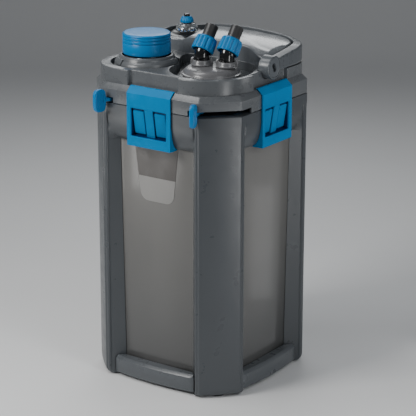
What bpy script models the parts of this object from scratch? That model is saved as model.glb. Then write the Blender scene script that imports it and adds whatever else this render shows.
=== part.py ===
"""External aquarium canister filter, modelled in metres, +Z up.

Origin: middle of the base, on the surface the filter stands on.
-Y is the front with the label, +X the right side, +Z up.
All numbers below are millimetres until the mesh is made.
"""
import math
import bpy
import bmesh
from mathutils import Matrix, Vector

for ob in list(bpy.data.objects):
    bpy.data.objects.remove(ob, do_unlink=True)

# ---------------------------------------------------------------- driving sizes (mm)
HALF = 117.5            # half width of the square body
CHAMFER = 40.0          # corner facet of the body
TANK_EDGE = 101.5       # side panel plane at the corner posts
TANK_MID = 104.0        # side panel plane at its middle, bowed outwards
TANK_X = 58.0           # half width of a side panel
TANK_TOP = 384.0
COLLAR_LOW = 335.0
COLLAR_TOP = 384.7
SKIRT_LOW = 385.0       # seam between head and collar
SKIRT_BEVEL = 404.0
SKIRT_TOP = 410.5
DECK = 430.5            # top of the front half of the head
LEDGE = 424.7           # top of the rear half, under the handle
WELL = (47.0, -45.0, 54.5)       # connector well: x, y, radius
WELL_FLOOR = 418.0
CAP = (-53.0, -51.0)             # prime pump axis
CAP_R = 32.0
CAP_TRAVEL = 20.0
POCKET = (-54.2, -52.2, 46.0)
INLET = (34.8, -49.1)
OUTLET = (67.8, -39.7)
ELBOW_TILT = 36.0
ELBOW_TURN = 3.0
HANDLE_AXIS_Z = 433.5
HANDLE_X = 106.0
HANDLE_BACK = 107.0
CLIP_AXIS_S = 107.4
CLIP_AXIS_Z = 412.2
CLIP_HALF = 35.0
HEATER = (-75.0, 71.0)
PUMP = (20.0, 58.0)
PREFILTER_R = 36.0
GAP = 0.4
S = 0.001


# ---------------------------------------------------------------- helpers
def material(name, rgb, rough, metallic=0.0, alpha=1.0):
    m = bpy.data.materials.new(name)
    m.use_nodes = True
    b = m.node_tree.nodes["Principled BSDF"]
    b.inputs["Base Color"].default_value = (*rgb, 1.0)
    b.inputs["Roughness"].default_value = rough
    b.inputs["Metallic"].default_value = metallic
    b.inputs["Alpha"].default_value = alpha
    return m


GREY = material("grey_plastic", (0.13, 0.14, 0.15), 0.42)
LIGHT = material("light_grey_plastic", (0.33, 0.34, 0.35), 0.38)
SMOKE = material("smoky_plastic", (0.17, 0.165, 0.16), 0.3)
BLUE = material("blue_plastic", (0.0, 0.2, 0.46), 0.35)
BLACK = material("black_plastic", (0.015, 0.015, 0.017), 0.22)
MATT = material("matt_black_plastic", (0.03, 0.03, 0.03), 0.6)
GLOSSGREY = material("gloss_grey_plastic", (0.09, 0.09, 0.09), 0.15)
RUBBER = material("rubber", (0.02, 0.02, 0.02), 0.8)
STEEL = material("steel", (0.6, 0.6, 0.6), 0.3, 1.0)
FOAM = material("foam", (0.05, 0.2, 0.4), 0.95)
CLEAR = material("clear_plastic", (0.9, 0.93, 0.95), 0.05, 0.0, 0.3)
LABEL = material("label", (0.3, 0.3, 0.3), 0.4)
WHITE = material("white_plastic", (0.8, 0.8, 0.8), 0.5)


def make(name, verts, faces, mat, origin=(0, 0, 0), angle=32):
    me = bpy.data.meshes.new(name)
    o = Vector(origin)
    me.from_pydata([(Vector(v) - o) * S for v in verts], [], faces)
    bm = bmesh.new()
    bm.from_mesh(me)
    bmesh.ops.recalc_face_normals(bm, faces=bm.faces)
    bm.to_mesh(me)
    bm.free()
    if mat:
        me.materials.append(mat)
    me.shade_smooth()
    me.set_sharp_from_angle(angle=math.radians(angle))
    ob = bpy.data.objects.new(name, me)
    bpy.context.scene.collection.objects.link(ob)
    ob.location = o * S
    return ob


def loft(name, rings, mat, origin=(0, 0, 0), loop=False, angle=32):
    """Skin a list of equal rings; loop closes the last ring on the first, otherwise both ends are capped."""
    n = len(rings[0])
    verts = [p for r in rings for p in r]
    faces = []
    m = len(rings)
    for i in range(m if loop else m - 1):
        a, b = i * n, ((i + 1) % m) * n
        for j in range(n):
            k = (j + 1) % n
            faces.append((a + j, a + k, b + k, b + j))
    if not loop:
        faces.append(tuple(reversed(range(n))))
        faces.append(tuple(range((m - 1) * n, m * n)))
    return make(name, verts, faces, mat, origin, angle)


def at(outline, z):
    return [(x, y, z) for x, y in outline]


def prism(name, outline, z0, z1, mat, origin=(0, 0, 0)):
    return loft(name, [at(outline, z0), at(outline, z1)], mat, origin)


def lathe(name, profile, n, mat, frame=None, origin=(0, 0, 0), ring=False):
    """Turn (radius, height) pairs about +Z of frame. ring: a closed section off the axis, else it starts and ends on the axis."""
    frame = frame or Matrix.Identity(4)
    verts, faces, rows = [], [], []
    for r, z in profile:
        if r < 1e-6:
            rows.append([len(verts)] * n)
            verts.append(frame @ Vector((0, 0, z)))
        else:
            rows.append(list(range(len(verts), len(verts) + n)))
            for j in range(n):
                a = 2 * math.pi * j / n
                verts.append(frame @ Vector((r * math.cos(a), r * math.sin(a), z)))
    m = len(profile)
    for i in range(m if ring else m - 1):
        a, b = rows[i], rows[(i + 1) % m]
        for j in range(n):
            k = (j + 1) % n
            f = []
            for v in (a[j], a[k], b[k], b[j]):
                if v not in f:
                    f.append(v)
            if len(f) > 2:
                faces.append(tuple(f))
    return make(name, verts, faces, mat, origin)


def move(x, y, z=0.0):
    return Matrix.Translation((x, y, z))


def tool(ob):
    ob.hide_render = True
    ob.display_type = 'WIRE'
    return ob


def boolean(ob, other, how='DIFFERENCE'):
    tool(other)
    m = ob.modifiers.new(how.lower(), 'BOOLEAN')
    m.operation = how
    m.solver = 'EXACT'
    m.object = other
    return ob


def cut(ob, *others):
    for o in others:
        boolean(ob, o)
    return ob


def join(ob, *others):
    for o in others:
        boolean(ob, o, 'UNION')
    return ob


def box(name, lo, hi, mat=None, origin=(0, 0, 0)):
    (a, b, c), (d, e, f) = lo, hi
    return prism(name, [(a, b), (d, b), (d, e), (a, e)], c, f, mat, origin)


def octagon(h, c):
    return [(h - c, -h), (h, c - h), (h, h - c), (h - c, h), (c - h, h), (-h, h - c), (-h, c - h), (c - h, -h)]


def arc(cx, cy, r, a0, a1, n):
    return [(cx + r * math.cos(math.radians(a0 + (a1 - a0) * i / n)),
             cy + r * math.sin(math.radians(a0 + (a1 - a0) * i / n))) for i in range(n + 1)]


def quarter(points):
    """Repeat one side's points, given for the front face, on all four sides."""
    out = []
    for k in range(4):
        for x, y in points:
            for _ in range(k):
                x, y = -y, x
            out.append((x, y))
    return out


def offset(outline, d):
    """Move every edge of a counter-clockwise outline inwards by d."""
    n = len(outline)
    out = []
    for i in range(n):
        p, q, r = (Vector(outline[(i + k) % n]) for k in (-1, 0, 1))
        a, b = (q - p).normalized(), (r - q).normalized()
        na, nb = Vector((-a.y, a.x)), Vector((-b.y, b.x))
        m = na + nb
        q = q + m * (d / max(0.35, 1 + na.dot(nb)))
        out.append((q.x, q.y))
    return out


def disc(name, x, y, r, z0, z1, mat=None, n=28, origin=(0, 0, 0)):
    return lathe(name, [(0, z0), (r, z0), (r, z1), (0, z1)], n, mat, move(x, y), origin)


# ---------------------------------------------------------------- vessel
def tank_side(edge, mid, xe):
    xc = edge - 23.0
    return [(-xc, -edge)] + [(xe * t, -(edge + (mid - edge) * (1 - t * t))) for t in (-1, -0.5, 0, 0.5, 1)] + [(xc, -edge)]


tank_out = quarter(tank_side(TANK_EDGE, TANK_MID, TANK_X))
tank_in = quarter(tank_side(TANK_EDGE - 2.5, TANK_MID - 2.5, TANK_X - 1.0))
tank = loft("tank", [at(offset(tank_out, 2.0), 4), at(tank_out, 7), at(tank_out, TANK_TOP), at(tank_in, TANK_TOP), at(tank_in, 8)], SMOKE)

BEAD = 72.5


def collar_side(d):
    """Front part of the collar's outer outline, pulled in by d between the corner posts."""
    xb = 68.0 - 0.62 * d
    yb = HALF - d
    bow = 2.5 * d / 15.0
    pts = [(-BEAD, -HALF)]
    pts += [(xb * t, -(yb + bow * (1 - t * t))) for t in (-1, -0.5, 0, 0.5, 1)]
    pts += [(BEAD, -HALF), (HALF - CHAMFER, -HALF), (HALF, CHAMFER - HALF)]
    return pts


def collar_inner():
    side = tank_side(TANK_EDGE + GAP, TANK_MID + GAP, TANK_X + 0.2)
    a, b = side[-1], (-side[0][1], side[0][0])
    return side + [(a[0] + (b[0] - a[0]) * t, a[1] + (b[1] - a[1]) * t) for t in (1 / 3, 2 / 3)]


rings = []
for z in (COLLAR_LOW, 337.0, 340.5, 346.5, 356.0, 372.0, COLLAR_TOP):
    t = max(0.0, (372.0 - z) / 37.0)
    rings.append(at(quarter(collar_side(15.0 * (1 - math.sqrt(max(0.0, 1 - t * t))))), z))
rings += [at(quarter(collar_inner()), COLLAR_TOP), at(quarter(collar_inner()), COLLAR_LOW)]
collar = loft("collar", rings, GREY, loop=True)

# corner posts, with a rounded lower end, on rubber feet
SIDES = ("front", "right", "rear", "left")
CORNERS = ("front_right", "rear_right", "rear_left", "front_left")


def turn(points, k):
    for _ in range(k):
        points = [(-y, x) for x, y in points]
    return points


def turn3(points, k):
    for _ in range(k):
        points = [(-y, x, z) for x, y, z in points]
    return points


post = [(58.9, -102.1), (BEAD, -HALF), (HALF - CHAMFER, -HALF), (HALF, CHAMFER - HALF), (HALF, -BEAD), (102.1, -58.9), (102.1, -79.0), (79.0, -102.1)]


def post_in(d):
    e = d / math.sqrt(2)
    return [post[0]] + [(x - e, y + e) for x, y in post[1:5]] + post[5:]


for k, corner in enumerate(CORNERS):
    rs = [(2.3, 7.0), (3.0, 4.6), (5.5, 1.6), (9.5, 0.0), (334.6, 0.0)]
    loft("corner_post_" + corner, [turn3(at(post_in(d), z), k) for z, d in rs], GREY)
    x, y = turn([(86.0, -86.0)], k)[0]
    lathe("rubber_foot_" + corner, [(0, 0), (9.8, 0), (10.5, 2.0), (0, 2.0)], 16, RUBBER, move(x, y))

# base rails between the posts
rail = [(-60.2, -105.0), (60.2, -105.0), (66.8, -112.5), (45.0, -115.2), (22.0, -116.9), (0.0, -117.4), (-22.0, -116.9), (-45.0, -115.2), (-66.8, -112.5)]
rail = list(reversed(rail))


def rail_in(d):
    return [(x - math.copysign(0.9 * d, x) if abs(x) > 62 else x, min(y + d, -105.0)) for x, y in rail]


for k, side in enumerate(SIDES):
    loft("base_rail_" + side, [turn3(at(rail_in(d), z), k) for z, d in ((7.0, 1.5), (9.0, 0.0), (27.0, 0.0), (30.8, 3.6))], GREY)

# plain label on the front panel
lab = []
for z in (262.0, 333.0):
    lab.append(z)
front = [(-30 + 60 * i / 8.0) for i in range(9)]


def panel_y(x):
    return -(TANK_EDGE + (TANK_MID - TANK_EDGE) * (1 - (x / TANK_X) ** 2))


def chord_y(x):
    """Depth of the faceted panel, which is straight between its five corner lines."""
    x0 = -TANK_X if x < -TANK_X / 2 else (-TANK_X / 2 if x < 0 else (0 if x < TANK_X / 2 else TANK_X / 2))
    x1 = x0 + TANK_X / 2
    return panel_y(x0) + (panel_y(x1) - panel_y(x0)) * (x - x0) / (x1 - x0)


outline = [(x, chord_y(x) - 0.9) for x in front] + [(x, chord_y(x) - 0.35) for x in reversed(front)]
prism("label_plate", outline, 262.0, 334.0, LABEL)

# ---------------------------------------------------------------- head
HOOD_SIDE = 97.5
HOOD_BACK = 95.0
HOOD_CORNER = 40.0


def hood_front(d=0.0):
    """Front wall line of the pump hood from left to right, moved forwards by d."""
    pts = [(-HOOD_SIDE, 4.0)] + list(reversed(arc(CAP[0], CAP[1], 72.0, 78.0, 124.0, 8)))
    pts += [(-20.0, 20.6), (10.0, 21.2), (40.0, 20.6), (60.0, 18.6), (72.0, 14.2), (82.0, 8.0), (HOOD_SIDE, 4.0)]
    return [(x, y - d) for x, y in pts]


def hood_outline():
    r = HOOD_CORNER
    return hood_front() + arc(HOOD_SIDE - r, HOOD_BACK - r, r, 0, 90, 6) + arc(r - HOOD_SIDE, HOOD_BACK - r, r, 90, 180, 6)


def tier2(h, rec, rf, rl, rr, half=38.0):
    """Upper head outline: rounded square with a flat recess behind every clip."""
    c, e, l = h - rf, h - rr, h - rl
    pts = []
    pts += [(-half - 2, -h), (-half, -rec), (half, -rec), (half + 2, -h)]
    pts += arc(c, -c, rf, -90, 0, 8)
    pts += [(h, -half - 2), (rec, -half), (rec, half), (h, half + 2)]
    pts += arc(e, e, rr, 0, 90, 8)
    pts += [(half + 2, h), (half, rec), (-half, rec), (-half - 2, h)]
    pts += arc(-e, e, rr, 90, 180, 8)
    pts += [(-h, half + 2), (-rec, half), (-rec, -half), (-h, -half - 2)]
    pts += arc(-l, -l, rl, 180, 270, 8)
    return pts


BEVEL = SKIRT_TOP - SKIRT_BEVEL
head = loft("head_housing", [at(octagon(HALF, CHAMFER), SKIRT_LOW), at(octagon(HALF, CHAMFER), SKIRT_BEVEL),
                             at(octagon(HALF - 7, CHAMFER - 4.1), SKIRT_TOP)], GREY)
upper_out = tier2(HALF - 7, 104.5, 65.0, 51.5, 50.0)
upper = loft("head_upper", [at(upper_out, 406.0), at(upper_out, DECK - 1.5), at(offset(upper_out, 1.5), DECK)], None)
join(head, upper)
rear = prism("rear_cut", hood_front(0.6)[0:1] + hood_front(0.6)[1:-1] + [(HOOD_SIDE, 3.4), (140.0, 3.4), (140.0, 140.0), (-140.0, 140.0), (-140.0, 3.4)], LEDGE, 470.0, None)


def well_outline():
    x, y, r = WELL
    pts = arc(x, y, r, -174, 22, 26)
    pts += [(93.5, -12.0), (88.0, -2.0), (80.5, 6.3), (71.5, 12.6), (59.5, 17.2), (40.0, 19.2), (10.0, 19.8), (-20.0, 19.2), (-35.5, 17.0)]
    pts += [(-33.0, 3.0), (-27.0, -11.0), (-18.5, -25.0), (-10.5, -37.0)]
    return pts


well_cut = prism("well_cut", well_outline(), WELL_FLOOR, 450.0, None)
pocket_cut = disc("pocket_cut", POCKET[0], POCKET[1], POCKET[2], 416.0, 450.0)
cavity = prism("cavity", octagon(114.2, 38.6), 380.0, 403.0, None)
cavity2 = prism("cavity2", offset(tier2(96.0, 95.0, 55.0, 42.0, 41.0), 0.0), 401.0, 421.0, None)
keep1 = prism("well_wall", offset(well_outline(), -3.2), 414.4, 425.0, None)
keep2 = disc("pocket_wall", POCKET[0], POCKET[1], POCKET[2] + 3.0, 412.4, 425.0)
cut(cavity2, keep1, keep2)
motor_hole = box("motor_hole", (-16.0, 24.0, 410.0), (56.0, 92.5, 440.0))
heater_hole = disc("heater_hole", HEATER[0], HEATER[1], 14.0, 410.0, 440.0, n=24)
port_hole = disc("port_hole", WELL[0], WELL[1], 38.4, 405.0, 430.0)
barrel_hole = disc("barrel_hole", CAP[0], CAP[1], 25.0, 405.0, 430.0, n=32)
boss_cut = lathe("boss_cut", [(0, -130), (16.2, -130), (16.2, -98.6), (0, -98.6)], 32, None, move(0, 0, HANDLE_AXIS_Z) @ Matrix.Rotation(math.pi / 2, 4, 'Y'))
boss_cut2 = lathe("boss_cut2", [(0, 98.6), (16.2, 98.6), (16.2, 130), (0, 130)], 32, None, move(0, 0, HANDLE_AXIS_Z) @ Matrix.Rotation(math.pi / 2, 4, 'Y'))


def sector(name, cx, cy, r0, r1, a0, a1, z0, z1, mat=None, n=14, origin=(0, 0, 0)):
    return prism(name, arc(cx, cy, r1, a0, a1, n) + arc(cx, cy, r0, a1, a0, n), z0, z1, mat, origin)


slot_front = sector("slot_front", WELL[0], WELL[1], 60.0, 100.0, -79.5, -9.5, 380.0, 392.8)
slot_left = sector("slot_left", CAP[0], CAP[1], 58.0, 100.0, -172.5, -95.0, 380.0, 392.8)
gland_hole = lathe("gland_hole", [(0, 90), (7.4, 90), (7.4, 130), (0, 130)], 24, None, move(-62, 0, 396) @ Matrix.Rotation(-math.pi / 2, 4, 'X'))
cut(head, cavity, cavity2, rear, well_cut, pocket_cut, motor_hole, heater_hole, port_hole, barrel_hole, boss_cut, boss_cut2, slot_front, slot_left, gland_hole)

# underside of the head, inside the mouth of the tank, with its seal
floor_out = quarter(tank_side(96.0, 98.3, 55.8))
floor = prism("head_floor", floor_out, 376.0, 384.2, MATT)
join(floor, lathe("port_sleeve", [(38.4, 378.0), (42.0, 378.0), (42.0, 413.6), (38.4, 413.6)], 28, None, move(WELL[0], WELL[1]), ring=True))
cut(floor, disc("floor_port", WELL[0], WELL[1], 38.4, 370.0, 388.0), disc("floor_heater", HEATER[0], HEATER[1], 12.0, 370, 390, n=24),
    disc("floor_pump", PUMP[0], PUMP[1], 11.0, 370.0, 390.0, n=24), disc("floor_barrel", CAP[0], CAP[1], 14.0, 370.0, 390.0, n=24))
loft("main_seal", [at(quarter(tank_side(96.4, 98.7, 56.0)), 378.5), at(quarter(tank_side(98.6, 101.0, 56.9)), 378.5),
                   at(quarter(tank_side(98.6, 101.0, 56.9)), 382.0), at(quarter(tank_side(96.4, 98.7, 56.0)), 382.0)], RUBBER, loop=True)

# pump hood: hollow cover with a crowned top and a low bay for the heater at the rear left
ho = hood_outline()


def crown(x, y, drop=0.0):
    """Height of the hood's crowned top."""
    return 459.0 - drop - 7.5 * (abs(x) / 97.5) ** 2.2 - 7.0 * (abs(y - 62.0) / 48.0) ** 2.0


def crown_block(name, drop, low):
    ys = [10.0, 24.0, 38.0, 52.0, 66.0, 80.0, 96.0]
    rs = []
    for x in (-110.0, -90.0, -65.0, -35.0, 0.0, 35.0, 65.0, 90.0, 110.0):
        rs.append([(x, -30.0, low), (x, 130.0, low), (x, 130.0, crown(x, 104.0, drop))] + [(x, y, crown(x, y, drop)) for y in reversed(ys)] + [(x, -30.0, crown(x, 10.0, drop))])
    return loft(name, rs, None)


hood = prism("pump_hood", ho, LEDGE + 0.4, 475.0, LIGHT)
boolean(hood, crown_block("hood_crown", 0.0, 400.0), 'INTERSECT')
inside = prism("hood_inside", offset(ho, 2.6), 420.0, 470.0, None)
boolean(inside, crown_block("inside_crown", 3.0, 400.0), 'INTERSECT')
cut(hood, inside)
bay = arc(HOOD_CORNER - HOOD_SIDE, HOOD_BACK - HOOD_CORNER, 54, 90, 180, 6) + [(-112.0, 27.0), (-50.0, 34.0), (-46.0, 38.0), (-46.0, 110.0)]
cut(hood, prism("bay_cut", list(reversed(bay)), 443.0, 480.0, None))
mount_out = [(-49.0, 36.2), (-46.9, 39.0), (-46.9, 94.4)] + arc(HOOD_CORNER - HOOD_SIDE, HOOD_BACK - HOOD_CORNER, 39.6, 90, 180, 6) + [(-97.1, 30.2)]
heater_mount = loft("heater_mount", [at(mount_out, 443.4), at(mount_out, 445.2), at(offset(mount_out, 0.8), 446.0)], BLACK)
cut(heater_mount, disc("mount_hole", HEATER[0], HEATER[1], 11.6, 430, 460, n=28))
cut(hood, disc("hood_heater_hole", HEATER[0], HEATER[1], 12.0, 430.0, 450.0, n=28))

# carry handle: bail round the hood, turning on two bosses
path = [(HANDLE_X, 6.0), (HANDLE_X, 22.0), (HANDLE_X, 45.0)] + arc(54.0, 55.0, 52.0, 0, 90, 8) + [(32.0, HANDLE_BACK), (0.0, HANDLE_BACK), (-32.0, HANDLE_BACK)] + arc(-54.0, 55.0, 52.0, 90, 180, 8) + [(-HANDLE_X, 45.0), (-HANDLE_X, 22.0), (-HANDLE_X, 6.0)]
hr = []
for i, (x, y) in enumerate(path):
    a = Vector(path[max(0, i - 1)])
    b = Vector(path[min(len(path) - 1, i + 1)])
    t = (b - a).normalized()
    nrm = Vector((t.y, -t.x))
    if i in (0, len(path) - 1):
        nrm = Vector((1 if x > 0 else -1, 0))
    f = min(1.0, max(0.0, (y - 6.0) / 62.0))
    g = min(1.0, max(0.0, (y - 70.0) / 30.0))
    low, top = 427.5 - 1.3 * min(1, f * 3), 443.0 + 8.0 * f + 6.0 * g * max(0.0, 1 - (x / 80.0) ** 2)
    w = 6.0
    sec = [(-w, low + 1.2), (-w + 1.2, low), (w - 1.2, low), (w, low + 1.2), (w, top - 3.0), (w - 2.6, top - 0.6), (-w + 2.6, top), (-w, top - 2.0)]
    hr.append([(x + nrm.x * u, y + nrm.y * u, v) for u, v in sec])
handle = loft("carry_handle", hr, GREY, origin=(0, 0, HANDLE_AXIS_Z))
RY = Matrix.Rotation(math.pi / 2, 4, 'Y')
for sx in (1, -1):
    m = move(0, 0, HANDLE_AXIS_Z) @ (RY if sx > 0 else Matrix.Rotation(-math.pi / 2, 4, 'Y'))
    join(handle, lathe("boss_%d" % sx, [(0, 99.4), (15.3, 99.4), (15.3, 115.5), (0, 115.5)], 24, None, m))
for sx, nm in ((1, "right"), (-1, "left")):
    m = move(0, 0, HANDLE_AXIS_Z) @ (RY if sx > 0 else Matrix.Rotation(-math.pi / 2, 4, 'Y'))
    cut(handle, lathe("boss_bore_%d" % sx, [(0, 90), (5.4, 90), (5.4, 120), (0, 120)], 18, None, m))
    lathe("handle_pivot_" + nm, [(0, 99.0), (5.0, 99.0), (5.0, 113.8), (0, 113.8)], 16, STEEL, m)

# ---------------------------------------------------------------- prime pump
M = move(CAP[0], CAP[1])
lathe("prime_cap", [(0, 470), (29.5, 470), (31.4, 469.2), (32, 467.6), (32, 466.8), (31.1, 466.5), (31.1, 465.7), (32, 465.4), (32, 462.6), (31.1, 462.3), (31.1, 461.5),
                    (32, 461.2), (32, 458.2), (31.1, 457.9), (31.1, 457.1), (32, 456.8), (32, 443.0), (30.6, 441.4), (28.6, 441.4), (28.6, 465.5), (0, 465.5)][::-1],
      32, BLUE, M, (CAP[0], CAP[1], 441.4))
lathe("prime_collar", [(33.0, 416.4), (43.4, 416.4), (43.4, 427.5), (41.8, 431.5), (38.5, 435.6), (35.0, 440.4), (33.0, 440.4)], 32, GREY, M, ring=True)
lathe("prime_barrel", [(20.0, 396.0), (24.2, 396.0), (24.2, 442.5), (20.0, 442.5)], 24, MATT, M, ring=True)
# return spring between the well floor and the cap's crown
turns, r0, rw = 4.0, 26.3, 0.9
coil = []
steps = int(turns * 12)
for i in range(steps + 1):
    a = 2 * math.pi * i / 12
    z = 418.0 + (464.0 - 418.0) * i / steps
    c = Vector((CAP[0] + r0 * math.cos(a), CAP[1] + r0 * math.sin(a), z))
    e = Vector((math.cos(a), math.sin(a), 0))
    coil.append([tuple(c + e * (rw * math.cos(b)) + Vector((0, 0, rw * math.sin(b)))) for b in [math.pi / 2 * q for q in range(4)]])
loft("prime_spring", coil, STEEL)

# ---------------------------------------------------------------- connector plate, elbows, nuts, hose tails
plate = lathe("connector_plate", [(0, 436.0), (30.0, 436.0), (33.5, 434.0), (36.5, 430.0), (39.0, 427.6), (39.2, 426.2), (38.6, 425.0), (37.6, 424.4), (37.6, 398.0), (0, 398.0)][::-1],
              36, GLOSSGREY, move(WELL[0], WELL[1]))
sn, cs = math.sin(math.radians(ELBOW_TILT)), math.cos(math.radians(ELBOW_TILT))
sa, ca = math.sin(math.radians(ELBOW_TURN)), math.cos(math.radians(ELBOW_TURN))
ELBOW_DIR = Vector((sa * sn, ca * sn, cs))
BEND_Z = 453.7


def elbow_frame(x, y):
    """Frame whose +Z runs along the tilted hose axis, with its origin at the bend."""
    w = ELBOW_DIR
    u = Vector((ca, -sa, 0.0))
    v = w.cross(u)
    m = Matrix((u, v, w)).transposed().to_4x4()
    m.translation = Vector((x, y, BEND_Z))
    return m


def pipe(name, x, y, ro, ri, mat):
    """Elbow: a vertical neck bending into the hose direction."""
    axis, R, n = [], 11.0, 3
    ang = math.radians(ELBOW_TILT)
    d = R * math.tan(ang / 2)
    h = Vector((sa, ca, 0))
    up = Vector((0, 0, 1))
    p0 = Vector((x, y, BEND_Z))
    axis.append((Vector((x, y, 437.0)), 0.0))
    c = p0 - up * d + h * R
    for i in range(n + 1):
        t = ang * i / n
        axis.append((c - h * (R * math.cos(t)) + up * (R * math.sin(t)), t))
    axis.append((p0 + ELBOW_DIR * 9.6, ang))
    ringsO, ringsI = [], []
    side = Vector((ca, -sa, 0))
    for p, t in axis:
        w = h * math.sin(t) + up * math.cos(t)
        v = w.cross(side)
        for r, store in ((ro, ringsO), (ri, ringsI)):
            store.append([tuple(p + side * (r * math.cos(2 * math.pi * j / 16)) + v * (r * math.sin(2 * math.pi * j / 16))) for j in range(16)])
    return loft(name, ringsO + ringsI[::-1], mat, origin=(x, y, BEND_Z), loop=True)


for (x, y), nm in ((INLET, "inlet"), (OUTLET, "outlet")):
    cut(plate, disc("port_" + nm, x, y, 7.0, 380.0, 450.0, n=24))
    pipe("elbow_" + nm, x, y, 9.9, 7.0, BLACK)
    ring = lathe("elbow_ring_" + nm, [(10.3, 436.4), (12.6, 436.4), (12.2, 440.0), (11.0, 443.4), (10.3, 443.4)], 20, GLOSSGREY, move(x, y), ring=True)
    f = elbow_frame(x, y)
    # union nut with a ribbed grip
    nut = []
    n = 14
    for r_out, z in ((14.8, 0.3), (13.8, 19.6), (9.0, 19.6), (9.0, 17.0), (10.6, 17.0), (10.6, 9.2), (12.5, 7.2), (12.5, 0.3)):
        row = []
        for j in range(n * 2):
            rib = 0.0 if r_out < 13 else (0.8 if j % 2 == 0 else 0.0)
            a = 2 * math.pi * j / (n * 2)
            row.append(tuple(f @ Vector(((r_out - rib) * math.cos(a), (r_out - rib) * math.sin(a), z))))
        nut.append(row)
    loft("union_nut_" + nm, nut, BLUE, origin=tuple(f @ Vector((0, 0, 10.0))), loop=True)
    lathe("hose_tail_" + nm, [(6.0, 10.4), (9.9, 10.4), (9.9, 13.0), (8.5, 13.6), (8.5, 37.6), (6.0, 37.6)], 18, MATT, f, ring=True)

# ---------------------------------------------------------------- lock levers
def lock_lever(name, cx, cy, angle, r_ring0, r_ring1, r_arm, r_pad0, r_pad1):
    ring = lathe(name, [(r_ring0, 386.6), (r_ring1, 386.6), (r_ring1, 391.6), (r_ring0, 391.6)], 24, BLUE, move(cx, cy), (cx, cy, 389.0), ring=True)
    a = math.radians(angle)
    e, t = Vector((math.cos(a), math.sin(a))), Vector((-math.sin(a), math.cos(a)))

    def pt(r, u):
        return (cx + e.x * r + t.x * u, cy + e.y * r + t.y * u)
    arm = prism(name + "_arm", [pt(r_ring1 - 2.5, -7), pt(r_arm, -3.2), pt(r_arm, 3.2), pt(r_ring1 - 2.5, 7)], 387.0, 391.4, None)
    n = 12
    mid, half = (r_pad0 + r_pad1) / 2, (r_pad1 - r_pad0) / 2
    out = []
    for u in (-2.6, 2.6):
        out.append([(pt(mid + half * math.copysign(abs(math.cos(q)) ** 0.7, math.cos(q)), u)[0], pt(mid + half * math.copysign(abs(math.cos(q)) ** 0.7, math.cos(q)), u)[1],
                     389.5 + 15.0 * math.copysign(abs(math.sin(q)) ** 0.8, math.sin(q))) for q in [2 * math.pi * (j + 0.5) / n for j in range(n)]])
    pad = loft(name + "_pad", out, None)
    join(ring, arm, pad)
    return ring


lock_lever("prefilter_lock_lever", WELL[0], WELL[1], -70.6, 42.8, 50.0, 84.0, 80.5, 95.0)
lock_lever("primer_lock_lever", CAP[0], CAP[1], -102.7, 26.0, 33.0, 80.0, 76.5, 91.0)

# ---------------------------------------------------------------- clips
def place(points, k):
    """Points given as (x along the face, distance out, height) for the front, turned to side k."""
    return turn3([(x, -s, z) for x, s, z in points], k)


for k, side in enumerate(SIDES):
    c0 = 0.0
    sec = [(121.2, 334.0), (121.2, 404.8), (113.2, 411.6), (109.6, 413.2), (107.4, 413.5), (106.5, 413.1), (106.1, 412.2), (106.5, 411.3), (107.4, 410.9), (111.5, 410.9), (118.3, 404.0), (118.3, 335.5)]
    org = place([(c0, CLIP_AXIS_S, CLIP_AXIS_Z)], k)[0]
    lever = loft("clip_lever_" + side, [place([(c0 + x, s, z) for s, z in sec], k) for x in (-CLIP_HALF, CLIP_HALF)], BLUE, origin=org)
    for q, (x0, x1) in enumerate(((-28.0, -8.0), (8.0, 28.0))):
        w = [(x0, 346.5), (x1, 346.5), (x1, 380.0), (x0, 380.0)]
        cut(lever, loft("window_%s_%d" % (side, q), [place([(c0 + x, s, z) for x, z in w], k) for s in (110.0, 130.0)], None))
    pocket = loft("catch_pocket_" + side, [place([(c0 + x, s, z) for x, z in ((-30, 342.5), (30, 342.5), (30, 381.0), (-30, 381.0))], k) for s in (114.0, 130.0)], None)
    cut(collar, pocket)
    catch = loft("clip_catch_" + side, [place([(c0 + x, s, z) for x, z in ((-29.4, 343.1), (29.4, 343.1), (29.4, 380.4), (-29.4, 380.4))], k) for s in (114.4, 117.6)], BLUE)
    for q, xm in enumerate((-18.0, 18.0)):
        pad = [place([(c0 + xm + a, s, z) for a, z in ((-7.0, 351.0), (7.0, 351.0), (6.0, 377.0), (-6.0, 377.0))], k) for s in (116.0, 119.2)]
        pad.append(place([(c0 + xm + a, s, z) for a, s, z in ((-6.4, 120.6, 352.0), (6.4, 120.6, 352.0), (5.4, 119.6, 376.0), (-5.4, 119.6, 376.0))], k))
        join(catch, loft("catch_pad_%s_%d" % (side, q), pad, None))

# ---------------------------------------------------------------- heater
hm = move(HEATER[0], HEATER[1])
lathe("heater_rod", [(0, 472.4), (3.2, 472.2), (4.0, 471.2), (4.0, 447.0), (11.0, 446.6), (11.0, 80.0), (8.0, 71.0), (0, 69.5)][::-1], 18, BLACK, hm)
lathe("heater_dome", [(15.5, 446.4), (15.5, 448.0), (14.6, 451.5), (12.4, 455.5), (10.2, 458.0), (9.4, 458.0), (13.4, 451.0), (14.2, 446.4)], 22, CLEAR, hm, ring=True)
lathe("heater_knob", [(4.4, 458.6), (9.2, 458.6), (9.2, 462.5), (8.4, 466.0), (6.6, 470.2), (4.4, 470.2)], 20, BLUE, hm, (HEATER[0], HEATER[1], 464.0), ring=True)
lathe("heater_scale_ring", [(4.4, 448.0), (8.0, 448.0), (8.0, 454.0), (4.4, 454.0)], 20, WHITE, hm, ring=True)
lathe("mains_cable_gland", [(3.2, 108.0), (7.0, 108.0), (7.0, 118.3), (10.2, 118.3), (10.2, 124.5), (8.8, 125.5), (8.8, 133.5), (6.4, 140.18), (3.2, 140.18)], 16, BLACK, move(-62, 0, 396) @ Matrix.Rotation(-math.pi / 2, 4, 'X'), ring=True)

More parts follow.
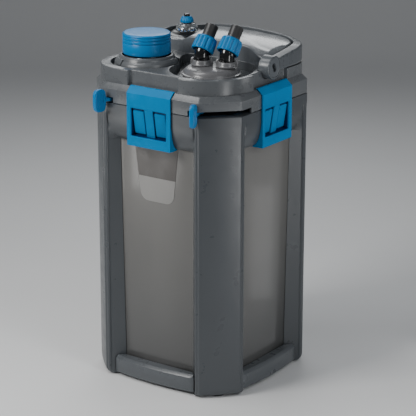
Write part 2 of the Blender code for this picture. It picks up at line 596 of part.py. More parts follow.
# ---------------------------------------------------------------- pump
pm = move(PUMP[0], PUMP[1])
lathe("pump_motor", [(0, 392.0), (29.0, 392.0), (31.0, 394.0), (31.0, 443.0), (28.0, 446.0), (0, 446.0)], 24, MATT, pm)
imp = lathe("impeller", [(0, 352.0), (3.5, 352.0), (3.5, 356.0), (19.5, 356.0), (19.5, 358.2), (6.0, 358.2), (6.0, 371.0), (10.0, 372.0), (10.0, 391.2), (0, 391.2)], 20, WHITE, pm, (PUMP[0], PUMP[1], 370.0))
for i in range(3):
    a = math.pi * i / 3
    e, t = Vector((math.cos(a), math.sin(a))), Vector((-math.sin(a), math.cos(a)))
    p = [(PUMP[0] + e.x * u + t.x * v, PUMP[1] + e.y * u + t.y * v) for u, v in ((-19, -0.9), (19, -0.9), (19, 0.9), (-19, 0.9))]
    join(imp, prism("blade_%d" % i, p, 357.5, 366.0, None))
lathe("pump_volute", [(9.0, 346.0), (27.0, 346.0), (27.0, 375.5), (24.0, 375.5), (24.0, 349.0), (9.0, 349.0)], 24, MATT, pm, ring=True)

# ---------------------------------------------------------------- prefilter and media
wm = move(WELL[0], WELL[1])
cage = lathe("prefilter_cage", [(PREFILTER_R - 2.2, 22.0), (PREFILTER_R, 22.0), (PREFILTER_R, 397.4), (PREFILTER_R - 2.2, 397.4)], 24, GREY, wm, ring=True)
for i in range(4):
    a = math.radians(22.5 + 45 * i)
    e, t = Vector((math.cos(a), math.sin(a))), Vector((-math.sin(a), math.cos(a)))
    for q, (z0, z1) in enumerate(((40.0, 140.0), (160.0, 260.0), (280.0, 360.0))):
        p = [(WELL[0] + e.x * u + t.x * v, WELL[1] + e.y * u + t.y * v) for u, v in ((-60, -4), (60, -4), (60, 4), (-60, 4))]
        cut(cage, prism("cage_slot_%d_%d" % (i, q), p, z0, z1, None))
lathe("prefilter_foam", [(13.0, 24.0), (32.8, 24.0), (32.8, 396.0), (13.0, 396.0)], 20, FOAM, wm, ring=True)



def trim(outline, k):
    """Cut a convex outline along -x + y = k, keeping the side of the origin."""
    out = []
    n = len(outline)
    for i in range(n):
        p, q = outline[i], outline[(i + 1) % n]
        dp, dq = -p[0] + p[1] - k, -q[0] + q[1] - k
        if dp <= 0:
            out.append(p)
        if dp * dq < 0:
            t = dp / (dp - dq)
            out.append((p[0] + (q[0] - p[0]) * t, p[1] + (q[1] - p[1]) * t))
    return out


# baskets leave the rear left corner free for the heater and a round shaft for the prefilter
media = trim(quarter(tank_side(96.0, 98.2, 55.6)), 129.5)
for nm, z0, z1 in (("lower", 20.0, 168.0), ("upper", 169.0, 326.0)):
    b = prism("media_basket_" + nm, media, z0, z1, GREY)
    cut(b, prism("basket_in_" + nm, offset(media, 2.2), z0 + 2.5, z1 + 10, None))
    join(b, lathe("basket_wall_" + nm, [(0, z0 + 1.0), (42.0, z0 + 1.0), (42.0, z1 - 1.0), (0, z1 - 1.0)], 24, None, wm))
    cut(b, disc("basket_pre_" + nm, WELL[0], WELL[1], 39.5, z0 - 20, z1 + 20, n=24))
    f = prism("filter_foam_" + nm, offset(media, 3.0), z0 + 3.2, z1 - 3.0, FOAM)
    cut(f, disc("foam_pre_" + nm, WELL[0], WELL[1], 43.0, z0 - 20, z1 + 20, n=24))
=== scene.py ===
"""Looks of the aquarium canister filter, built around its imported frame.

All shapes below are written in millimetres in the frame's own axes and scaled once in mesh().
-Y is the front with the label, +X the right side, +Z up.
"""
import math

import bpy
import bmesh
import numpy as np
from mathutils import Matrix, Vector
from mathutils.geometry import delaunay_2d_cdt


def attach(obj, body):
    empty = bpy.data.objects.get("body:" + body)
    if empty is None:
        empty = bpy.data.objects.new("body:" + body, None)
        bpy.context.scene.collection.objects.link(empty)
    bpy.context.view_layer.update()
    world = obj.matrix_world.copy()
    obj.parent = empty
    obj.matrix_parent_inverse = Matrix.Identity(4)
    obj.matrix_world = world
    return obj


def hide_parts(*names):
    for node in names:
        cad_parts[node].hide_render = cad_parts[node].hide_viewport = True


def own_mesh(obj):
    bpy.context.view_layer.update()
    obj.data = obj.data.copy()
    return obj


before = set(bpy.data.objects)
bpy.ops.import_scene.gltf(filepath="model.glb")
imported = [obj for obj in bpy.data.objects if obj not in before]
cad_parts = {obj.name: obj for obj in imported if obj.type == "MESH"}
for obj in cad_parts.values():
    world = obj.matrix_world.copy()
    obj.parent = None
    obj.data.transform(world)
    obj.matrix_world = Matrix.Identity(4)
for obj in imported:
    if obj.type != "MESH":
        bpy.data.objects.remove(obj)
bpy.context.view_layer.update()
S = 0.001
SIDES = ("front", "right", "rear", "left")
CORNERS = ("front_right", "rear_right", "rear_left", "front_left")


# ------------------------------------------------------------------ materials
def lin(c):
    c = c / 255.0
    return c / 12.92 if c <= 0.04045 else ((c + 0.055) / 1.055) ** 2.4


def rgb(r, g, b):
    return (lin(r), lin(g), lin(b))


def shade(c, k):
    return tuple(min(1.0, x * k) for x in c)


def base(name):
    m = bpy.data.materials.new(name)
    m.use_nodes = True
    nt = m.node_tree
    return m, nt, nt.nodes["Principled BSDF"]


def noise(nt, scale, detail=3.0, rough=0.55, stretch=None):
    tc = nt.nodes.new("ShaderNodeTexCoord")
    src = tc.outputs["Object"]
    if stretch:
        mp = nt.nodes.new("ShaderNodeMapping")
        mp.inputs["Scale"].default_value = stretch
        nt.links.new(src, mp.inputs["Vector"])
        src = mp.outputs["Vector"]
    n = nt.nodes.new("ShaderNodeTexNoise")
    n.inputs["Scale"].default_value = scale
    n.inputs["Detail"].default_value = detail
    n.inputs["Roughness"].default_value = rough
    nt.links.new(src, n.inputs["Vector"])
    return n.outputs["Fac"]


def span(nt, fac, lo, hi, a=0.3, b=0.7):
    r = nt.nodes.new("ShaderNodeMapRange")
    r.inputs["From Min"].default_value = a
    r.inputs["From Max"].default_value = b
    r.inputs["To Min"].default_value = lo
    r.inputs["To Max"].default_value = hi
    nt.links.new(fac, r.inputs["Value"])
    return r.outputs["Result"]


def mixc(nt, fac, a, b):
    m = nt.nodes.new("ShaderNodeMix")
    m.data_type = "RGBA"
    if isinstance(fac, float):
        m.inputs[0].default_value = fac
    else:
        nt.links.new(fac, m.inputs[0])
    for sock, v in ((m.inputs[6], a), (m.inputs[7], b)):
        if isinstance(v, tuple):
            sock.default_value = (*v, 1.0)
        else:
            nt.links.new(v, sock)
    return m.outputs[2]


def bump(nt, b, *layers):
    """layers: (factor socket, strength, depth in metres), stacked."""
    prev = None
    for fac, strength, depth in layers:
        n = nt.nodes.new("ShaderNodeBump")
        n.inputs["Strength"].default_value = strength
        n.inputs["Distance"].default_value = depth
        nt.links.new(fac, n.inputs["Height"])
        if prev is not None:
            nt.links.new(prev, n.inputs["Normal"])
        prev = n.outputs["Normal"]
    nt.links.new(prev, b.inputs["Normal"])


def plastic(name, colour, rough, drift=0.07, grain=0.12, wear_and_highlight=0.25, coat=0.0, spec=0.5, streak=0.0, grain_scale=1500.0, warp=0.05):
    """Moulded plastic: slow colour drift, fine spark-eroded grain, flow streaks, and paler edges that are partly wear
    and partly a painted edge highlight.
    """
    m, nt, b = base(name)
    slow = noise(nt, 14.0, 4.0)
    col = mixc(nt, slow, shade(colour, 1 - drift), shade(colour, 1 + drift))
    speck = noise(nt, 420.0, 3.0)
    col = mixc(nt, span(nt, speck, 0.0, 0.10, 0.45, 0.75), col, shade(colour, 1.35))
    if streak:
        flow = noise(nt, 9.0, 3.0, stretch=(3.0, 3.0, 0.25))
        col = mixc(nt, span(nt, flow, 0.0, streak), col, shade(colour, 1.3))
    # paler convex edges: partly wear, partly a painted highlight along the bevels
    geo = nt.nodes.new("ShaderNodeNewGeometry")
    edge = span(nt, geo.outputs["Pointiness"], 0.0, wear_and_highlight, 0.505, 0.56)
    worn_and_lit_edge = nt.nodes.new("ShaderNodeMath")
    worn_and_lit_edge.operation = "MULTIPLY"
    nt.links.new(edge, worn_and_lit_edge.inputs[0])
    nt.links.new(span(nt, noise(nt, 60.0, 4.0), 0.35, 1.0), worn_and_lit_edge.inputs[1])
    col = mixc(nt, worn_and_lit_edge.outputs[0], col, shade(colour, 2.0) if max(colour) < 0.4 else shade(colour, 1.4))
    nt.links.new(col, b.inputs["Base Color"])
    nt.links.new(span(nt, noise(nt, 55.0, 5.0), rough - 0.05, rough + 0.07), b.inputs["Roughness"])
    b.inputs["Specular IOR Level"].default_value = spec
    if coat:
        b.inputs["Coat Weight"].default_value = coat
        b.inputs["Coat Roughness"].default_value = 0.12
    bump(nt, b, (noise(nt, grain_scale, 2.0), grain, 0.00012), (noise(nt, 35.0, 2.0), warp, 0.0004))
    return m


GREY = plastic("grey_body_plastic", rgb(80, 84, 88), 0.29, grain=0.09, wear_and_highlight=0.22)
POST = plastic("column_plastic", rgb(68, 72, 76), 0.31, grain=0.07, wear_and_highlight=0.0, streak=0.12)
HEAD = plastic("head_plastic", rgb(86, 89, 92), 0.28, grain=0.10, wear_and_highlight=0.25, warp=0.03)
LIGHT = plastic("hood_plastic", rgb(104, 108, 112), 0.25, drift=0.04, grain=0.05, wear_and_highlight=0.15, coat=0.35, warp=0.008)
BLUE = plastic("blue_plastic", rgb(0, 113, 172), 0.34, drift=0.05, grain=0.08, wear_and_highlight=0.15, coat=0.05, spec=0.32)
CLIP = plastic("blue_plastic_clip", rgb(0, 114, 168), 0.42, drift=0.05, grain=0.08, wear_and_highlight=0.15, coat=0.0, spec=0.07)
# dark navy blue: painted shade for the inside of the clip openings and the catch plates behind them
NAVY_SHADE = plastic("blue_plastic_painted_shade", rgb(0, 42, 86), 0.42, drift=0.06, grain=0.10, wear_and_highlight=0.2, spec=0.25)
GLOSS = plastic("gloss_black_plastic", rgb(16, 16, 18), 0.09, drift=0.1, grain=0.02, wear_and_highlight=0.1, coat=0.8, warp=0.01)
GLOSSGREY = plastic("gloss_grey_plastic", rgb(98, 98, 100), 0.28, drift=0.06, grain=0.03, wear_and_highlight=0.25, coat=0.25, warp=0.008)
MATT = plastic("matt_black_plastic", rgb(46, 46, 47), 0.36, drift=0.12, grain=0.20, wear_and_highlight=0.2, spec=0.5)
BLACK = plastic("black_platform_plastic", rgb(16, 16, 18), 0.28, drift=0.12, grain=0.12, wear_and_highlight=0.25)
TICK = plastic("scale_mark_plastic", rgb(70, 150, 235), 0.35, drift=0.03, grain=0.05, wear_and_highlight=0.0)
WHITE = plastic("white_plastic", rgb(225, 228, 230), 0.4, drift=0.03, grain=0.08, wear_and_highlight=0.0)
LABEL_TOP = plastic("label_dark_band", rgb(78, 75, 73), 0.34, drift=0.03, grain=0.03, wear_and_highlight=0.0)
LABEL_LOW = plastic("label_pale_field", rgb(134, 133, 131), 0.32, drift=0.03, grain=0.03, wear_and_highlight=0.0)


def smoke_material():
    """Smoky vessel wall: smooth and glossy, with a faint cloudy drift, long moulding flow lines and painted shade that
    darkens it towards the bottom.
    """
    m, nt, b = base("smoky_panel_plastic")
    col = mixc(nt, noise(nt, 7.0, 2.0), rgb(96, 95, 93), rgb(110, 109, 107))
    flow = noise(nt, 16.0, 2.0, 0.5, (1.0, 1.0, 0.12))
    col = mixc(nt, span(nt, flow, 0.0, 0.22), col, rgb(128, 127, 124))
    # painted shade: the wall's colour darkens towards the bottom, over the lowest 0.27 m
    tc = nt.nodes.new("ShaderNodeTexCoord")
    sep = nt.nodes.new("ShaderNodeSeparateXYZ")
    nt.links.new(tc.outputs["Object"], sep.inputs[0])
    rise = nt.nodes.new("ShaderNodeMapRange")
    rise.interpolation_type = "SMOOTHSTEP"
    nt.links.new(sep.outputs["Z"], rise.inputs["Value"])
    for key, value in (("From Min", 0.0), ("From Max", 0.27), ("To Min", 0.0), ("To Max", 1.0)):
        rise.inputs[key].default_value = value
    painted_low_shade = mixc(nt, noise(nt, 7.0, 2.0), rgb(68, 69, 69), rgb(80, 80, 80))
    col = mixc(nt, rise.outputs[0], painted_low_shade, col)
    nt.links.new(col, b.inputs["Base Color"])
    nt.links.new(span(nt, noise(nt, 24.0, 3.0), 0.17, 0.24), b.inputs["Roughness"])
    b.inputs["Coat Weight"].default_value = 0.3
    b.inputs["Coat Roughness"].default_value = 0.08
    bump(nt, b, (noise(nt, 6.0, 2.0, 0.5, (1.0, 1.0, 0.4)), 0.06, 0.0010), (noise(nt, 1600.0, 2.0), 0.012, 0.0001))
    return m


SMOKE = smoke_material()


def rubber_material():
    m, nt, b = base("rubber")
    col = mixc(nt, noise(nt, 40.0, 5.0), rgb(24, 24, 25), rgb(40, 40, 41))
    nt.links.new(col, b.inputs["Base Color"])
    nt.links.new(span(nt, noise(nt, 90.0, 4.0), 0.68, 0.88), b.inputs["Roughness"])
    b.inputs["Sheen Weight"].default_value = 0.15
    bump(nt, b, (noise(nt, 900.0, 4.0), 0.35, 0.0002))
    return m


def steel_material():
    m, nt, b = base("stainless_steel")
    col = mixc(nt, noise(nt, 30.0, 3.0), rgb(168, 170, 172), rgb(205, 206, 207))
    nt.links.new(col, b.inputs["Base Color"])
    b.inputs["Metallic"].default_value = 1.0
    nt.links.new(span(nt, noise(nt, 300.0, 2.0, stretch=(1.0, 1.0, 12.0)), 0.18, 0.36), b.inputs["Roughness"])
    bump(nt, b, (noise(nt, 700.0, 2.0, stretch=(1.0, 1.0, 10.0)), 0.12, 0.00005))
    return m


def foam_material():
    m, nt, b = base("filter_foam")
    tc = nt.nodes.new("ShaderNodeTexCoord")
    v = nt.nodes.new("ShaderNodeTexVoronoi")
    v.inputs["Scale"].default_value = 420.0
    nt.links.new(tc.outputs["Object"], v.inputs["Vector"])
    col = mixc(nt, span(nt, v.outputs["Distance"], 0.0, 1.0, 0.1, 0.6), rgb(20, 62, 105), rgb(60, 120, 170))
    nt.links.new(col, b.inputs["Base Color"])
    b.inputs["Roughness"].default_value = 0.95
    b.inputs["Sheen Weight"].default_value = 0.3
    bump(nt, b, (v.outputs["Distance"], 0.9, 0.0008), (noise(nt, 120.0, 3.0), 0.3, 0.0005))
    return m


def glass_material():
    m, nt, b = base("clear_polycarbonate")
    b.inputs["Base Color"].default_value = (0.86, 0.90, 0.93, 1.0)
    b.inputs["Transmission Weight"].default_value = 0.92
    b.inputs["IOR"].default_value = 1.5
    nt.links.new(span(nt, noise(nt, 80.0, 3.0), 0.02, 0.07), b.inputs["Roughness"])
    bump(nt, b, (noise(nt, 60.0, 2.0), 0.05, 0.0003))
    return m


RUBBER, STEEL, FOAM, GLASS = rubber_material(), steel_material(), foam_material(), glass_material()


# ------------------------------------------------------------------ mesh helpers
def mesh(name, verts, faces, mat, angle=30.0):
    me = bpy.data.meshes.new(name)
    me.from_pydata([Vector(v) * S for v in verts], [], faces)
    bm = bmesh.new()
    bm.from_mesh(me)
    bmesh.ops.remove_doubles(bm, verts=bm.verts, dist=1e-6)
    bmesh.ops.dissolve_degenerate(bm, edges=bm.edges, dist=1e-6)
    bmesh.ops.recalc_face_normals(bm, faces=bm.faces)
    bm.to_mesh(me)
    bm.free()
    if mat:
        me.materials.append(mat)
    me.shade_smooth()
    me.set_sharp_from_angle(angle=math.radians(angle))
    ob = bpy.data.objects.new(name, me)
    bpy.context.scene.collection.objects.link(ob)
    return ob


def apply(ob):
    """Keep what the modifiers make as the mesh itself."""
    dg = bpy.context.evaluated_depsgraph_get()
    dg.update()
    me = bpy.data.meshes.new_from_object(ob.evaluated_get(dg))
    ob.modifiers.clear()
    old = ob.data
    ob.data = me
    bpy.data.meshes.remove(old)
    me.name = ob.name
    return ob


def carve(ob, others, how="DIFFERENCE", angle=30.0):
    for o in others:
        m = ob.modifiers.new("b", "BOOLEAN")
        m.operation = how
        m.solver = "EXACT"
        m.object = o
    bpy.context.view_layer.update()
    apply(ob)
    for o in others:
        bpy.data.objects.remove(o, do_unlink=True)
    bm = bmesh.new()
    bm.from_mesh(ob.data)
    bmesh.ops.remove_doubles(bm, verts=bm.verts, dist=2e-6)
    bmesh.ops.dissolve_degenerate(bm, edges=bm.edges, dist=2e-6)
    bm.to_mesh(ob.data)
    bm.free()
    ob.data.shade_smooth()
    ob.data.set_sharp_from_angle(angle=math.radians(angle))
    return ob


def bevel(ob, width, segments=2, angle=32.0):
    ob.data.shade_smooth()
    m = ob.modifiers.new("bevel", "BEVEL")
    m.width = width * S
    m.segments = segments
    m.limit_method = "ANGLE"
    m.angle_limit = math.radians(angle)
    m.use_clamp_overlap = True
    m.harden_normals = False
    w = ob.modifiers.new("normals", "WEIGHTED_NORMAL")
    w.keep_sharp = False
    w.weight = 80
    return apply(ob)


def loft(name, rings, mat, loop=False, angle=30.0):
    n = len(rings[0])
    assert all(len(r) == n for r in rings), (name, [len(r) for r in rings])
    verts = [p for r in rings for p in r]
    faces = []
    m = len(rings)
    for i in range(m if loop else m - 1):
        a, b = i * n, ((i + 1) % m) * n
        for j in range(n):
            k = (j + 1) % n
            faces.append((a + j, a + k, b + k, b + j))
    if not loop:
        faces.append(tuple(reversed(range(n))))
        faces.append(tuple(range((m - 1) * n, m * n)))
    return mesh(name, verts, faces, mat, angle)


def at(outline, z):
    return [(p[0], p[1], z) for p in outline]


def prism(name, outline, z0, z1, mat=None):
    return loft(name, [at(outline, z0), at(outline, z1)], mat)


def box(name, lo, hi, mat=None):
    (a, b, c), (d, e, f) = lo, hi
    return prism(name, [(a, b), (d, b), (d, e), (a, e)], c, f, mat)


def lathe(name, profile, n, mat, M=None, ring=False, angle=30.0, wobble=None):
    """profile: (radius, height). wobble(angle index, radius, height) -> radius."""
    M = M or Matrix.Identity(4)
    verts, faces, rows = [], [], []
    for r, z in profile:
        if r < 1e-6:
            rows.append([len(verts)] * n)
            verts.append(M @ Vector((0, 0, z)))
        else:
            rows.append(list(range(len(verts), len(verts) + n)))
            for j in range(n):
                a = 2 * math.pi * j / n
                q = wobble(a, r, z) if wobble else r
                verts.append(M @ Vector((q * math.cos(a), q * math.sin(a), z)))
    m = len(profile)
    for i in range(m if ring else m - 1):
        a, b = rows[i], rows[(i + 1) % m]
        for j in range(n):
            k = (j + 1) % n
            f = []
            for v in (a[j], a[k], b[k], b[j]):
                if v not in f:
                    f.append(v)
            if len(f) > 2:
                faces.append(tuple(f))
    return mesh(name, verts, faces, mat, angle)


def move(x, y, z=0.0):
    return Matrix.Translation((x, y, z))


def arc(cx, cy, r, a0, a1, n):
    return [(cx + r * math.cos(math.radians(a0 + (a1 - a0) * i / n)),
             cy + r * math.sin(math.radians(a0 + (a1 - a0) * i / n))) for i in range(n + 1)]


def soft(pts, n=6):
    """Fillet every corner (x, y, radius) of a polygon; radius 0 keeps the point."""
    out = []
    m = len(pts)
    for i in range(m):
        p, q, w = Vector(pts[i - 1][:2]), Vector(pts[i][:2]), Vector(pts[(i + 1) % m][:2])
        r = pts[i][2] if len(pts[i]) > 2 else 0.0
        if r <= 0:
            out.append((q.x, q.y))
            continue
        a, b = p - q, w - q
        la, lb = a.length, b.length
        a.normalize()
        b.normalize()
        ang = a.angle(b)
        if ang > math.pi - 1e-3:
            out += [(q.x, q.y)] * 1
            continue
        t = min(r / math.tan(ang / 2), la * 0.48, lb * 0.48)
        rr = t * math.tan(ang / 2)
        c = q + (a + b).normalized() * (rr / math.sin(ang / 2))
        s, e = q + a * t, q + b * t
        a0, a1 = math.atan2(s.y - c.y, s.x - c.x), math.atan2(e.y - c.y, e.x - c.x)
        d = (a1 - a0 + math.pi) % (2 * math.pi) - math.pi
        out += [(c.x + rr * math.cos(a0 + d * k / n), c.y + rr * math.sin(a0 + d * k / n)) for k in range(n + 1)]
    return out


def spline(pts, n=5):
    """Smooth curve through the points, n steps between each pair."""
    P = [Vector((2 * pts[0][0] - pts[1][0], 2 * pts[0][1] - pts[1][1]))] + [Vector(p) for p in pts]
    P.append(Vector((2 * pts[-1][0] - pts[-2][0], 2 * pts[-1][1] - pts[-2][1])))
    out = []
    for i in range(1, len(P) - 2):
        a, b, c, d = P[i - 1], P[i], P[i + 1], P[i + 2]
        for k in range(n):
            t = k / n
            q = 0.5 * ((2 * b) + (c - a) * t + (2 * a - 5 * b + 4 * c - d) * t * t + (3 * b - a - 3 * c + d) * t ** 3)
            out.append((q.x, q.y))
    out.append(tuple(pts[-1]))
    return out


def offset(outline, d):
    n = len(outline)
    out = []
    for i in range(n):
        p, q, r = (Vector(outline[(i + k) % n]) for k in (-1, 0, 1))
        a, b = (q - p).normalized(), (r - q).normalized()
        na, nb = Vector((-a.y, a.x)), Vector((-b.y, b.x))
        q = q + (na + nb) * (d / max(0.35, 1 + na.dot(nb)))
        out.append((q.x, q.y))
    return out


def tidy(outline, gap=0.05):
    out = []
    for p in outline:
        if not out or math.hypot(p[0] - out[-1][0], p[1] - out[-1][1]) > gap:
            out.append(p)
    if math.hypot(out[0][0] - out[-1][0], out[0][1] - out[-1][1]) <= gap:
        out.pop()
    return out


def quarter(points):
    out = []
    for k in range(4):
        for x, y in points:
            for _ in range(k):
                x, y = -y, x
            out.append((x, y))
    return out


def turn3(points, k):
    for _ in range(k):
        points = [(-y, x, z) for x, y, z in points]
    return points


def place(points, k):
    """Points given as (x along the face, distance out, height) for the front, turned to side k."""
    return turn3([(x, -s, z) for x, s, z in points], k)


def octagon(h, c, r=0.0, n=7):
    pts = [(h - c, -h), (h, c - h), (h, h - c), (h - c, h), (c - h, h), (-h, h - c), (-h, c - h), (c - h, -h)]
    return soft([(x, y, r) for x, y in pts], n) if r else pts


def disc(name, x, y, r, z0, z1, n=64):
    return lathe(name, [(0, z0), (r, z0), (r, z1), (0, z1)], n, None, move(x, y))


def ride(ob, body, slot, *nodes):
    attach(ob, body)
    if nodes:
        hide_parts(*nodes)
    return ob


# ------------------------------------------------------------------ driving sizes (mm), the frame's own
HALF, CHAMFER = 117.5, 40.0
TANK_EDGE, TANK_MID, TANK_X, TANK_TOP = 101.5, 104.0, 58.0, 384.0
LOW, TOP = 335.0, 384.7
DECK, LEDGE = 430.5, 424.7
WELL = (47.0, -45.0, 54.5)
CAP = (-53.0, -51.0)
POCKET = (-54.2, -52.2, 46.0)
INLET, OUTLET = (34.8, -49.1), (67.8, -39.7)
AXIS_Z = 433.5
HEATER = (-75.0, 71.0)


# ------------------------------------------------------------------ tank
def tank_side(edge, mid, xe, n=24):
    xc = edge - 23.0
    return [(-xc, -edge)] + [(xe * t, -(edge + (mid - edge) * (1 - t * t))) for t in np.linspace(-1, 1, n + 1)] + [(xc, -edge)]


def draft(z):
    """Moulding draft of the vessel wall: how far it steps in below the collar."""
    return 3.0 * max(0.0, (334.0 - z) / 326.0)


def tank_ring(z, wall=0.0):
    p = draft(z) + wall
    return at(quarter(tank_side(TANK_EDGE - p, TANK_MID - p, TANK_X - 0.97 * draft(z) - 0.4 * wall)), z)


def inset(ring, d):
    z = ring[0][2]
    return at(offset([(x, y) for x, y, _ in ring], d), z)


tank = loft("tank_shell", [inset(tank_ring(4.0), 2.6), inset(tank_ring(4.6), 1.2), inset(tank_ring(6.0), 0.3), tank_ring(8.0), tank_ring(120.0),
                           tank_ring(230.0), tank_ring(334.0), tank_ring(TANK_TOP), tank_ring(TANK_TOP, 2.5), tank_ring(334.0, 2.5), tank_ring(8.0, 2.0)], SMOKE)
ride(tank, "canister", "smoky_plastic", "tank")

# ------------------------------------------------------------------ collar and corner posts
BEAD_LINE = [(69.9, -114.6), (70.3, -115.9), (70.9, -116.8), (71.8, -117.35), (72.7, -117.5), (73.6, -117.35), (74.3, -116.95), (74.9, -116.6), (75.6, -116.5), (76.3, -116.65), (77.0, -116.75), (77.8, -116.6), (78.6, -116.1)]


def corner_line(bead):
    """From the bead beside the front panel, over the corner facet, to the bead beside the right panel."""
    flat = 1.0 - bead
    half = []
    for i, (x, y) in enumerate(BEAD_LINE):
        if i < 10:
            fy = -117.5
        else:
            fy = (-117.5, -117.35, -116.9)[min(2, i - 10)]
        half.append((x, y * bead + fy * flat))
    a, b = half[-1], (-half[-1][1], -half[-1][0])
    mid = []
    for k in range(1, 16):
        t = k / 16
        u = 1.35 * 4 * t * (1 - t)
        mid.append((a[0] + (b[0] - a[0]) * t + u * 0.7071, a[1] + (b[1] - a[1]) * t - u * 0.7071))
    return half + mid + [(-y, -x) for x, y in reversed(half)]


def dish(z):
    t = max(0.0, (372.0 - z) / 37.0)
    return 15.0 * (1 - math.sqrt(max(0.0, 1 - t * t)))


def collar_quarter(z):
    """Front face between the posts, pulled in by the dish, then the front right corner."""
    d = dish(z)
    bead = min(1.0, max(0.0, (376.0 - z) / 14.0))
    bead = bead * bead * (3 - 2 * bead)
    xb, yb = 68.0 - 0.62 * d, HALF - d
    bow = 2.5 * d / 15.0
    pts = [(xb * t, -(yb + bow * (1 - t * t))) for t in np.linspace(-1, 1, 25)]
    x0, y0 = pts[-1]
    x1, y1 = corner_line(bead)[0]
    pts += [(x0 + (x1 - x0) * t, y0 + (y1 - y0) * t) for t in (0.3, 0.65)]
    back = [(x1 + (x0 - x1) * t, y1 + (y0 - y1) * t) for t in (0.35, 0.7)]
    line = corner_line(bead)
    return pts + line + [(-y, -x) for x, y in back]


def hit(poly, p):
    """Where the ray from the middle through p meets the polygon."""
    px, py = p
    best = None
    n = len(poly)
    for i in range(n):
        (ax, ay), (bx, by) = poly[i], poly[(i + 1) % n]
        ex, ey = bx - ax, by - ay
        den = px * ey - py * ex
        if abs(den) < 1e-12:
            continue
        t = (ax * ey - ay * ex) / den
        u = (ax * py - ay * px) / den
        if t > 0 and -1e-9 <= u <= 1 + 1e-9:
            best = t if best is None else min(best, t)
    return (px * best, py * best)


zs = [335.0, 335.3, 336.0, 337.2, 339.0, 341.5, 345.0, 349.5, 355.0, 360.0, 364.0, 368.0, 371.0, 374.0, 377.0, 380.0, 383.9]
rings = [at(quarter(collar_quarter(z)), z) for z in zs]
rings.append(at(offset(quarter(collar_quarter(384.0)), 0.4), 384.4))
rings.append(at(offset(quarter(collar_quarter(384.0)), 1.3), TOP))
tank_fit = quarter(tank_side(TANK_EDGE + 0.4, TANK_MID + 0.4, TANK_X + 0.2))
inner = [hit(tank_fit, p) for p in quarter(collar_quarter(336.0))]
rings += [at(inner, TOP), at(inner, 335.0)]
collar = loft("collar_rim", rings, POST, loop=True, angle=24)
def slope(z):
    """Distance out of the clip's recessed face, which leans in towards its lower end."""
    return 113.9 + (z - 346.8) * 6.2 / 38.2


cutters = []
for k in range(4):
    pl = [(130.0, 342.5), (130.0, 383.6), (slope(383.6) - 4.3, 383.6), (slope(342.5) - 4.3, 342.5)]
    cutters.append(loft("pocket%d" % k, [place([(x, s, z) for s, z in pl], k) for x in (-31.2, 31.2)], None))
carve(collar, cutters, angle=24)
ride(collar, "canister", "grey_plastic", "collar")


def post_ring(z, d):
    line = corner_line(1.0)
    e = d / math.sqrt(2)
    n = len(line)
    g = draft(z) * 0.97
    pts = [(58.9 - g, -102.3 + g)] + [(x - e, y + e) for x, y in [(61.6, -105.3), (65.7, -109.9)]]
    pts += [(x - e, y + e) for x, y in line]
    pts += [(x - e, y + e) for x, y in [(109.9, -65.7), (105.3, -61.6)]] + [(102.3 - g, -58.9 + g), (102.1 - g, -79.0), (79.0, -102.1 + g)]
    return at(pts, z)


for k, corner in enumerate(CORNERS):
    rs = [(2.3, 8.2), (2.45, 6.6), (2.9, 4.9), (3.8, 3.3), (5.2, 1.9), (7.2, 0.8), (9.6, 0.2), (12.5, 0.0), (120.0, 0.0), (230.0, 0.0), (334.97, 0.0)]
    post = loft("post_" + corner, [turn3(post_ring(z, d), k) for z, d in rs], POST, angle=24)
    ride(post, "canister", "grey_plastic", "corner_post_" + corner)

# ------------------------------------------------------------------ base rails
rail_xy = [(56.6, -101.9)] + [(65.2, -111.6)] + [(x, -(112.3 + 5.1 * (1 - (x / 66.8) ** 2))) for x in np.linspace(63, -63, 25)] + [(-65.2, -111.6), (-56.6, -101.9)]
rail_xy = list(reversed(rail_xy))


def rail_ring(z, d):
    return at([(x - math.copysign(0.9 * d, x) if abs(x) > 64 else x, min(y + d, -101.9)) for x, y in rail_xy], z)


for k, side in enumerate(SIDES):
    rs = ((4.7, 1.5), (4.95, 0.9), (5.5, 0.35), (6.5, 0.0), (24.3, 0.0), (24.8, 0.12), (25.25, 0.45), (27.9, 3.2), (28.3, 3.65), (28.5, 4.3), (28.6, 5.0))
    rail = loft("rail_" + side, [turn3(rail_ring(z, d), k) for z, d in rs], GREY, angle=26)
    ride(rail, "canister", "grey_plastic", "base_rail_" + side)


# ------------------------------------------------------------------ plain two-tone label on the front panel
def panel_y(x, z):
    return -(TANK_EDGE - draft(z) + (TANK_MID - TANK_EDGE) * (1 - (x / TANK_X) ** 2))


